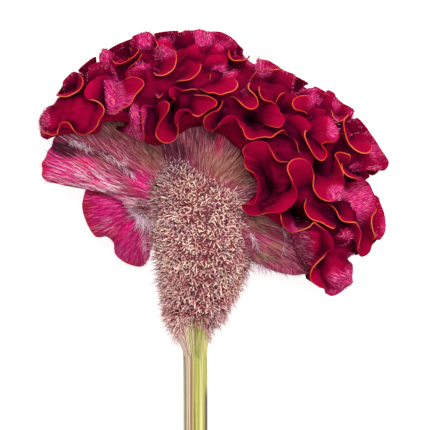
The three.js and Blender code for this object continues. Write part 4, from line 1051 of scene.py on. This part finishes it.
ONWARD = [(300, 250, 8, 24, 1)]  # where the fan's hairs run on over the foot of the comb's lowest fold
ONWARD_HAIRS = 1300
chances = np.clip(toned(floor_skin, ONWARD) - 0.1, 0, 1) * (floor_skin[..., 2] > HUB[2])
picked = draw.choice(chances.size, ONWARD_HAIRS, p=(chances / chances.sum()).ravel())
ups, ways = floor_out.reshape(-1, 3)[picked], floor_lie.reshape(-1, 3)[picked]
across = np.cross(ways, ups)
roots = floor_skin.reshape(-1, 3)[picked]
roots[:, :2] += draw.normal(0, 0.5, (ONWARD_HAIRS, 2)) * MM
ways = unit(ways + across * draw.normal(0, 0.3, ONWARD_HAIRS)[:, None] + ups * 0.15)
marks = {name: np.zeros(ONWARD_HAIRS) for name in TONES}
marks["magenta"] = draw.uniform(0, 0.9, ONWARD_HAIRS)
marks["tint"] = draw.uniform(0, 1, ONWARD_HAIRS)
groups.append((
    roots, ways, ups, draw.uniform(2, 4.5, ONWARD_HAIRS) * MM, draw.uniform(0.14, 0.28, ONWARD_HAIRS) * MM,
    draw.uniform(-0.1, 0.1, ONWARD_HAIRS), marks))
*blades, marks = zip(*groups)
marks = {key: np.concatenate([each[key] for each in marks]) for key in marks[0]}
tufts = loose_mesh("silver_tufts", *tapered(*map(np.concatenate, blades), marks, POINTED))
tufts.data.materials.append(FAN_HAIR)
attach(tufts, "root")

# The second lobe, a scalloped flap of the fan that hangs free to the lower left.
LOBE_RIM = [  # x and y in the photograph, and how far each point lies behind the hub's level
    (86, 187, -9), (82, 206, -11), (87, 224, -13), (96, 237, -14), (105, 236, -11), (113, 242, -10),
    (115, 254, -12), (128, 264, -15), (143, 266, -16), (145, 252, -13), (146, 236, -11), (150, 220, -10),
]
LOBE_ROOT = ((150, 196, -5), (156, 222, -5))


def from_photo(spots):
    spots = np.asarray(spots, float)
    x, y = (spots[:, 0] - HUB_PX[0]) * PX, (HUB_PX[1] - spots[:, 1]) * PX
    return np.stack([x, y, spots[:, 2] * MM], -1) + HUB


LOBE_STEP = 0.9 * MM
LOBE_ROWS = 34
LOBE_HALF, LOBE_RIM_HALF = 2.5, 0.65  # half its thickness at the root and near the rim, in mm
rim, run = smooth_line(from_photo(LOBE_RIM), LOBE_STEP)
t = run / run[-1]
root = from_photo(LOBE_ROOT)
root = root[0] + (root[1] - root[0]) * t[:, None]
shares = np.concatenate([np.linspace(0, 0.94, LOBE_ROWS), [0.97, 0.99, 1.0]])
face = root[:, None] + (rim - root)[:, None] * shares[None, :, None]
scallops = np.sin(2 * math.pi * (2.6 * t + 0.1))[:, None]
arch = 3 * np.sin(math.pi * shares)[None, :] + 2.2 * (shares ** 1.5)[None, :] * scallops
arch = arch + 0.35 * np.sin(2 * math.pi * 17 * t + 2 * np.sin(9 * t))[:, None] * shares[None, :]
face[..., 2] += arch * MM
face[..., 2] += 0.4 * MM * ripple(face, 9 * MM, 51) * shares[None, :]
half = (LOBE_HALF + (LOBE_RIM_HALF - LOBE_HALF) * shares) * MM
half[-3:] *= np.array([0.95, 0.75, 0.3])
tangent, out = unit(np.gradient(face, axis=0)), unit(np.gradient(face, axis=1))
normal = unit(np.cross(tangent, out))
normal *= np.sign(normal[..., 2:])
thick = normal * half[None, :, None]
rings = np.concatenate([face + thick, (face - thick)[:, ::-1]], axis=1)
u, v = np.broadcast_arrays(t[:, None] * 90, np.concatenate([shares, shares[::-1], [0]])[None, :] * 30)
LOBE_TONES = {  # as the fan's
    "magenta": [(115, 225, 90, 90, 1)],
    "crimson": [(85, 214, 10, 24, 1), (94, 230, 10, 9, 1), (98, 193, 16, 6, 0.8), (128, 264, 16, 5, 0.9),
                (112, 236, 14, 7, 0.9), (124, 226, 12, 9, 0.5)],
    # dark: painted shade in the lobe's folds and under the fan's edge above it
    "dark": [(107, 238, 12, 4, 0.8), (118, 246, 5, 7, 0.6), (112, 193, 18, 3, 0.5)],
    # silver: pale hairs, and at (104, 226) and (110, 220) a painted highlight along the lobe's ridge
    "silver": [(140, 214, 8, 8, 1), (145, 238, 3, 22, 1), (104, 226, 8, 3, 0.8), (110, 220, 6, 4, 0.6),
               (134, 254, 9, 6, 0.25)],
    "tan": [],
}
tones = {tone: toned(rings, places) for tone, places in LOBE_TONES.items()}
lobe = wrapped("side_lobe", rings, tones, np.stack([u, v], -1))
lobe.data.materials.append(FAN_SILK)
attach(lobe, "root")
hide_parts("silky_fan")

LOBE_HAIRS = 2600
LOBE_HAIRS_IN_FRONT = 0.82
i = draw.integers(0, face.shape[0], LOBE_HAIRS)
j = (np.sqrt(draw.uniform(0.04, 0.9, LOBE_HAIRS)) * LOBE_ROWS).astype(int)
side = np.where(draw.uniform(0, 1, LOBE_HAIRS) < LOBE_HAIRS_IN_FRONT, 1, -1)[:, None]
ways, ups = out[i, j], normal[i, j] * side
roots = face[i, j] + ups * half[j][:, None] + draw.normal(0, 0.25, (LOBE_HAIRS, 3)) * MM * [1, 1, 0]
ways = unit(ways + np.cross(ways, ups) * draw.normal(0, 0.18, LOBE_HAIRS)[:, None] + ups * 0.08)
room = np.linalg.norm(rim - root, axis=1)[i] * (1 - shares[j]) + 0.8 * MM
marks = {tone: toned(roots, LOBE_TONES[tone]) * draw.uniform(0.8, 1, LOBE_HAIRS) for tone in TONES}
marks["magenta"][:] = 1
marks["silver"] = marks["silver"] * (draw.uniform(0, 1, LOBE_HAIRS) < 0.6)
marks["tint"] = np.maximum(draw.uniform(0.1, 0.88, LOBE_HAIRS), marks["silver"])
hairs = loose_mesh("lobe_hairs", *tapered(
    roots, ways, ups, np.minimum(draw.uniform(2.5, 5.5, LOBE_HAIRS) * MM, room),
    draw.uniform(0.14, 0.26, LOBE_HAIRS) * MM, draw.uniform(-0.06, 0.06, LOBE_HAIRS), marks, POINTED))
hairs.data.materials.append(FAN_HAIR)
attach(hairs, "root")

# The column under the hub, where the lower, fertile florets sit: small chaffy stars with cream tips and
# dark red throats, crowded all round a tapering stalk and standing out from it like a brush.
STEM_LENGTH = 163 * MM
STEM_RADIUS = 5.1 * MM
STEM_FLUTE_DEPTH = 0.35 * MM
STEM_SAG = 0.36  # per metre: the stem's bend, from its own weight
STEM_SLOPE = (HUB[2] - STEM_RADIUS - STEM_FLUTE_DEPTH) / STEM_LENGTH - STEM_SAG * STEM_LENGTH
AXIS_SHIFT = [  # distance below the hub, and how far the middle lies to the right of it
    (-20, -8.7), (-14, -7.4), (-8, -2.8), (-2, 1.4), (12, 1.8), (22, 3.6), (31, 3.2), (44, 1), (51, -0.6),
    (57, -2.0), (60, -1.6), (64, -1.1), (75, -0.8), (110, -0.7), (163, -0.2),
]
COLUMN = [  # distance below the hub; half the width and half the depth under the florets
    (-19, 4, 10), (-14, 7, 13), (-8, 15, 15.2), (-3, 19.5, 16.4), (12, 20.2, 16.8), (22, 20.2, 16.8),
    (31, 18, 15.4), (44, 13.7, 12.2), (51, 10.6, 10.2), (57, 6.4, 6.6), (60, 5.0, 5.0), (63, 4.3, 4.3),
    (67, 4.0, 4.0),
]
COLUMN_SQUARENESS = 0.8


def axis_point(t):
    """The middle of the stem and column at a distance t below the hub, in metres."""
    t = np.asarray(t, float)
    shift = along(AXIS_SHIFT, t.ravel() / MM)[:, 0].reshape(t.shape) * MM
    drop = np.where(t > 0, STEM_SLOPE * t + STEM_SAG * t * t, 0)
    return np.stack([HUB[0] + shift, HUB[1] - t, HUB[2] - drop], -1)


def column_point(t, around):
    """The stalk's skin under the florets, round from the right over the front."""
    t, around = np.broadcast_arrays(np.asarray(t, float), np.asarray(around, float))
    wide, deep = [v.reshape(t.shape) * MM for v in along(COLUMN, t.ravel() / MM).T]
    cos, sin = np.cos(around), np.sin(around)
    x = wide * np.sign(cos) * np.abs(cos) ** COLUMN_SQUARENESS
    z = deep * np.sign(sin) * np.abs(sin) ** COLUMN_SQUARENESS
    return axis_point(t) + np.stack([x, 0 * x, z], -1)


def stalk_skin():
    """Dark red between the florets, and green where the stem shows bare."""
    material, surface, node, link = new_material("stalk_skin")
    patch = noise(node, node("ShaderNodeTexCoord").outputs["Object"], 500, 3)
    red = ramp(node, patch, [(0.35, (0.10, 0.012, 0.016)), (0.65, (0.26, 0.06, 0.055))])
    green = ramp(node, patch, [(0.35, (0.52, 0.50, 0.13)), (0.65, (0.72, 0.66, 0.30))])
    colour = mixed(node, carried(node, "low"), red, green)
    finished(node, link, surface, colour, {"Roughness": 0.8})
    return material


STALK_RINGS, STALK_SIDES = 90, 72
ts = np.linspace(COLUMN[0][0], COLUMN[-1][0], STALK_RINGS)[:, None] * MM
around = np.linspace(0, 2 * math.pi, STALK_SIDES, endpoint=False)[None, :]
low = step_between(52 * MM, 57 * MM, ts) * step_between(0, 0.5, np.sin(around))
low = np.maximum(low, step_between(56 * MM, 58.5 * MM, ts))
stalk = wrapped("column_stalk", column_point(ts, around), {"low": low})
stalk.data.materials.append(stalk_skin())
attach(stalk, "root")
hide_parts("floret_column")


FLORET_SPACING = 2.25 * MM
FLORETS_END = 57.8 * MM
BARE_FROM = 53.5 * MM  # from here down the stem shows between them in front
PETALS = 5
LEAN = ([-19, -8, 5, 30, 50, 61], [-0.9, -0.6, -0.15, 0.2, 0.4, 0.9])  # below the hub in mm; lean down the stem
BRUSH = ([-19, -10, 5, 25, 45, 61], [1.15, 1.1, 1.0, 1.0, 1.25, 1.55])  # how long the florets are
BRUSH_LEFT = ([-10, 0, 12, 30, 45, 61], [0.4, 0.2, 0.1, 0.3, 0.6, 0.8])  # and how much longer to the left
draw = np.random.default_rng(7)
spots = []
t = COLUMN[0][0] * MM + 1 * MM
while t < FLORETS_END:
    wide, deep = along(COLUMN, t / MM)[0] * MM
    count = max(6, round(2 * math.pi * math.sqrt((wide ** 2 + deep ** 2) / 2) * 1.08 / FLORET_SPACING))
    for i in range(count):
        spots.append((t + draw.uniform(-0.45, 0.45) * MM, 2 * math.pi * (i + draw.uniform(0, 0.7)) / count))
    t += FLORET_SPACING * 0.9
t, around = np.array(spots).T
kept = ~((t > BARE_FROM) & (np.sin(around) > 0) & (np.abs(np.cos(around) - 0.1) < 0.6))
t, around = t[kept], around[kept]
base = column_point(t, around)
d_t = column_point(t + 0.4 * MM, around) - column_point(t - 0.4 * MM, around)
d_a = column_point(t, around + 0.03) - column_point(t, around - 0.03)
normal = unit(np.cross(unit(d_a), unit(d_t)))
normal *= np.sign((normal * (base - axis_point(t))).sum(1))[:, None]
down = unit(d_t)
lean = np.interp(t / MM, *LEAN) + draw.normal(0, 0.12, len(t))
facing = unit(normal + down * lean[:, None] + draw.normal(0, 0.12, (len(t), 3)))
side = unit(np.cross(facing, down + 0.001))
other = np.cross(facing, side)
tint = draw.uniform(0, 1, len(t))
leftward = step_between(0.2, 1, -np.cos(around))
brush = np.interp(t / MM, *BRUSH) + leftward * np.interp(t / MM, *BRUSH_LEFT)
size = draw.uniform(0.8, 1.15, len(t)) * brush * (1 - 0.2 * np.cos(around) ** 4)
roots, ways, ups, lengths, widths, curls, tints = [], [], [], [], [], [], []
for k in range(PETALS):
    turn = 2 * math.pi * (k + draw.uniform(-0.25, 0.25, len(t))) / PETALS
    outward = side * np.cos(turn)[:, None] + other * np.sin(turn)[:, None]
    roots.append(base - facing * 0.5 * MM + outward * 0.32 * MM)
    ways.append(unit(facing + outward * draw.uniform(0.15, 0.5, len(t))[:, None]))
    ups.append(outward)
    lengths.append(draw.uniform(2.2, 3.9, len(t)) * MM * size)
    widths.append(draw.uniform(0.56, 0.98, len(t)) * MM)
    curls.append(draw.uniform(0.1, 0.65, len(t)))
    tints.append(tint)

# Among the florets stand thin bristles, which show best round the column's outline.
BRISTLES = 2400
chances = 0.25 + np.abs(np.cos(around)) ** 2 + (t > 48 * MM) + 3 * (t < 4 * MM) * leftward
picked = draw.choice(len(t), BRISTLES, p=chances / chances.sum())
roots.append(base[picked] + draw.normal(0, 0.5, (BRISTLES, 3)) * MM)
ways.append(unit(facing[picked] + draw.normal(0, 0.28, (BRISTLES, 3)) + down[picked] * 0.15))
ups.append(side[picked])
lengths.append(draw.uniform(3.5, 5.6, BRISTLES) * MM * np.minimum(brush[picked], 1.3))
widths.append(draw.uniform(0.24, 0.42, BRISTLES) * MM)
curls.append(draw.normal(0, 0.25, BRISTLES))
tints.append(draw.uniform(0.4, 1.2, BRISTLES))
DUSKY = [  # where the florets are dull, dark purple, most of them under the comb
    (183, 162, 24, 13, 1.4), (158, 176, 12, 10, 0.9), (156, 198, 6, 10, 0.3), (240, 190, 8, 10, 0.6),
    (232, 180, 14, 8, 0.5), (246, 250, 5, 30, 0.25),
]
blades = [np.concatenate(values) for values in (roots, ways, ups, lengths, widths, curls)]
marks = {"tint": np.concatenate(tints), "dusk": toned(blades[0], DUSKY)}
florets = loose_mesh("florets", *tapered(*blades, marks))


def chaff():
    """The florets' papery tepals: dark red at their roots, dusty pink along them, cream at the tips, and
    dull purple where dusk says so, mostly under the comb."""
    material, surface, node, link = new_material("floret_chaff")
    tip, tint = carried(node, "tip"), carried(node, "tint")
    patch = noise(node, node("ShaderNodeTexCoord").outputs["Object"], 120, 2)
    cream = ramp(node, tip, [
        (0.15, (0.15, 0.018, 0.022)), (0.38, (0.40, 0.095, 0.092)), (0.58, (0.70, 0.39, 0.33)),
        (0.85, (0.92, 0.76, 0.64)),
    ])
    rose = ramp(node, tip, [
        (0.15, (0.15, 0.010, 0.020)), (0.42, (0.36, 0.040, 0.070)), (0.70, (0.56, 0.17, 0.19)),
        (0.95, (0.78, 0.48, 0.44)),
    ])
    dull = ramp(node, tip, [
        (0.15, (0.024, 0.005, 0.012)), (0.45, (0.10, 0.020, 0.042)), (0.70, (0.27, 0.090, 0.130)),
        (0.95, (0.66, 0.42, 0.46)),
    ])
    colour = mixed(node, rising(node, total_of(node, tint, patch), 0.85, 1.15), cream, rose)
    closed = rising(node, total_of(node, carried(node, "dusk"), tint), 0.65, 1.1)
    colour = mixed(node, closed, colour, dull)
    finished(node, link, surface, colour, {"Roughness": 0.55, "Specular IOR Level": 0.3})
    return material


florets.data.materials.append(chaff())
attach(florets, "root")
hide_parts("floret_column")

# The stem: a soft fluted stalk, yellow-green with long pink and brown stripes, cut across its end.
STEM_TOP = 48 * MM
STEM_FLUTES = 8
STEM_RINGS, STEM_SIDES = 120, 96
DARK_STRIP = (82 * MM, 90 * MM)  # between these a dark brown strip sets in along the right edge
rows = np.linspace(STEM_TOP, STEM_LENGTH, STEM_RINGS)
around = np.linspace(0, 2 * math.pi, STEM_SIDES, endpoint=False)
flute = STEM_FLUTE_DEPTH * np.cos(STEM_FLUTES * around)
flute = flute + 0.12 * MM * np.cos(23 * around + 1) + 0.07 * MM * np.cos(37 * around)
radius = np.tile(STEM_RADIUS + flute, (STEM_RINGS, 1))
centres = axis_point(rows)
x, z = radius * np.cos(around), radius * np.sin(around)
slant = 0.15 * z * np.exp(-((STEM_LENGTH - rows) / (1.5 * MM)))[:, None]
rings = centres[:, None] + np.stack([x, slant, z], -1)
rings[..., 2] = np.maximum(rings[..., 2], TABLE_CLEAR)
chart = np.stack(np.broadcast_arrays(np.linspace(0, 1, STEM_SIDES + 1)[None, :], rows[:, None] / (100 * MM)), -1)
dark_strip = step_between(*DARK_STRIP, rows)[:, None] * np.exp(-((np.cos(around) - 1) / 0.10) ** 2)[None, :]
end = np.repeat((rows > STEM_LENGTH - 0.5 * MM)[:, None] * 1.0, STEM_SIDES, 1)
stem = wrapped("stem_rod", rings, {"end": end, "dark_strip": dark_strip}, chart)


STRIPES = [  # share of the way round from the right over the front, and the colour there
    (0.00, (0.34, 0.26, 0.16)), (0.05, (0.44, 0.44, 0.14)), (0.10, (0.42, 0.46, 0.06)),
    (0.135, (0.50, 0.50, 0.12)), (0.165, (0.66, 0.62, 0.34)), (0.195, (0.50, 0.50, 0.11)),
    (0.22, (0.42, 0.46, 0.08)), (0.245, (0.50, 0.52, 0.13)), (0.265, (0.42, 0.44, 0.08)),
    (0.29, (0.56, 0.48, 0.20)), (0.305, (0.50, 0.40, 0.15)), (0.325, (0.34, 0.14, 0.05)),
    (0.34, (0.58, 0.46, 0.28)), (0.375, (0.66, 0.53, 0.40)), (0.41, (0.58, 0.44, 0.34)),
    (0.43, (0.56, 0.50, 0.32)), (0.50, (0.50, 0.46, 0.30)), (0.56, (0.44, 0.44, 0.12)),
    (0.72, (0.56, 0.50, 0.24)), (0.80, (0.40, 0.24, 0.12)), (0.90, (0.44, 0.44, 0.10)),
    (1.00, (0.34, 0.26, 0.16)),
]


def stem_skin():
    """The stem's rind, with stripes along it that wander a little, and pale pith across its cut end."""
    material, surface, node, link = new_material("stem_skin")
    uv = node("ShaderNodeUVMap", uv_map="UVMap").outputs["UV"]
    round_uv, along_uv = node("ShaderNodeSeparateXYZ", {0: uv}).outputs[:2]
    wander = scaled(node, streaks(node, uv, 9, 1.6, 2), 0.03, -0.015)
    drift = scaled(node, along_uv, -0.045, 0.05)
    stripes = ramp(node, total_of(node, total_of(node, round_uv, wander), drift), STRIPES)
    fibre = streaks(node, uv, 60, 1.2, 4)
    shade = ramp(node, fibre, [
        (0.41, (0.50, 0.43, 0.36)), (0.5, (0.90, 0.87, 0.88)), (0.59, (1.18, 1.15, 1.16)),
    ])
    colour = mixed(node, 1.0, stripes, shade, "MULTIPLY")
    colour = mixed(node, carried(node, "dark_strip"), colour, (0.085, 0.055, 0.050))
    colour = mixed(node, carried(node, "end"), colour, (0.72, 0.68, 0.42))
    finished(node, link, surface, colour, {"Roughness": 0.5}, height=fibre, strength=0.35, distance=0.0004)
    return material


stem.data.materials.append(stem_skin())
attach(stem, "root")
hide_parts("stem")

# Pale fibres run up from the stem between the lowest florets, green in front and lilac to the left, and
# loose wisps hang from under the florets.
FIBRES = 480
FIBRE_TAPER = (0.5, 1.0, 0)
draw = np.random.default_rng(41)
up_to = draw.uniform(49, 57, FIBRES) * MM
down_to = draw.uniform(60, 71, FIBRES) * MM
around = np.radians(draw.normal(84, 36, FIBRES))
leftward = step_between(-0.1, 0.7, -np.cos(around))
up_to = np.maximum(up_to, (49 + 8 * step_between(0.1, 0.7, np.cos(around))) * MM)
tops = column_point(up_to, around)
outward = np.stack([np.cos(around), 0 * around, np.sin(around)], -1)
ends = axis_point(down_to) + outward * (STEM_RADIUS + 0.2 * MM)
ups = unit(tops - axis_point(up_to))
fibres = [
    ends, unit(tops + ups * 1.2 * MM - ends), ups, np.linalg.norm(tops - ends, axis=1),
    draw.uniform(0.25, 0.55, FIBRES) * MM, draw.uniform(-0.06, 0.04, FIBRES),
    draw.uniform(0, 0.5, FIBRES) + 0.5 * leftward,
]
WISPS = 260
WISPS_AT_LEFT = 0.62
up_to = draw.uniform(49, 61, WISPS) * MM
around = np.where(draw.uniform(0, 1, WISPS) < WISPS_AT_LEFT, math.pi, 0) + draw.normal(0, 0.75, WISPS)
tops = column_point(up_to, around)
ups = unit(tops - axis_point(up_to))
ways = np.array([0.0, -1.0, 0.0]) + ups * draw.uniform(0.1, 1.1, WISPS)[:, None]
ways = unit(ways + draw.normal(0, 0.2, (WISPS, 3)))
wisps = [
    tops + ups * 0.8 * MM, ways, ups, draw.uniform(3.5, 8.5, WISPS) * MM,
    draw.uniform(0.16, 0.32, WISPS) * MM, draw.uniform(-0.35, 0.25, WISPS), draw.uniform(0.55, 1, WISPS),
]
*blades, tints = [np.concatenate(pair) for pair in zip(fibres, wisps)]
fibres = loose_mesh("stem_fibres", *tapered(*blades, {"tint": tints}, FIBRE_TAPER))
material, surface, node, link = new_material("stem_fibre")
finished(node, link, surface, ramp(node, carried(node, "tint"), [
    (0.0, (0.44, 0.44, 0.09)), (0.2, (0.54, 0.52, 0.14)), (0.4, (0.66, 0.58, 0.26)), (0.5, (0.76, 0.68, 0.46)),
    (0.65, (0.70, 0.50, 0.46)), (0.8, (0.56, 0.27, 0.34)), (1.0, (0.86, 0.74, 0.74)),
]), {"Roughness": 0.55})
fibres.data.materials.append(material)
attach(fibres, "root")

# The studio: a pale floor, a pale sky and one large soft light above, to the upper right. The camera looks
# straight down on the flower, which lies on its back, so that it sees the face that the photograph shows.
FLOOR_WIDE = 6
FLOOR_DROP = 0.0002  # so that it isn't in the same plane as what lies on it
deselect()
bpy.ops.mesh.primitive_plane_add(size=FLOOR_WIDE, location=(0, 0, -FLOOR_DROP))
floor = bpy.context.object
floor.name = "floor"
material, surface, node, link = new_material("floor_white")
for name, value in {
    "Base Color": (0.4, 0.4, 0.4, 1), "Roughness": 0.9,
    "Emission Color": (1, 1, 1, 1), "Emission Strength": 0.85,
}.items():
    surface.inputs[name].default_value = value
floor.data.materials.append(material)

SKY_STRENGTH = 0.42
scene = bpy.context.scene
world = bpy.data.worlds.new("studio")
world.use_nodes = True
world.node_tree.nodes["Background"].inputs["Color"].default_value = (1, 1, 1, 1)
world.node_tree.nodes["Background"].inputs["Strength"].default_value = SKY_STRENGTH
scene.world = world
scene.view_settings.view_transform = "Standard"

LAMP_AT, LAMP_AIM = (0.16, 0.28, 1.05), (0, 0.03, 0.04)
LAMP_SIZE, LAMP_ENERGY = 0.5, 13.5
bpy.ops.object.light_add(type="AREA", location=LAMP_AT)
lamp = bpy.context.object
lamp.data.size = LAMP_SIZE
lamp.data.energy = LAMP_ENERGY
aim = np.array(LAMP_AIM) - np.array(lamp.location)
lamp.rotation_euler = Vector(aim).to_track_quat("-Z", "Y").to_euler()

CAMERA_AWAY = 5.0  # over the hub
CAMERA_X, CAMERA_Y = -0.0001, 0.0359
PHOTO_WIDE = 430 * PX
FILM = 36
bpy.ops.object.camera_add(location=(CAMERA_X, CAMERA_Y, HUB[2] + CAMERA_AWAY), rotation=(0, 0, 0))
camera = bpy.context.object
camera.data.sensor_width = FILM
camera.data.lens = FILM * CAMERA_AWAY / PHOTO_WIDE
camera.data.clip_end = 20
scene.camera = camera
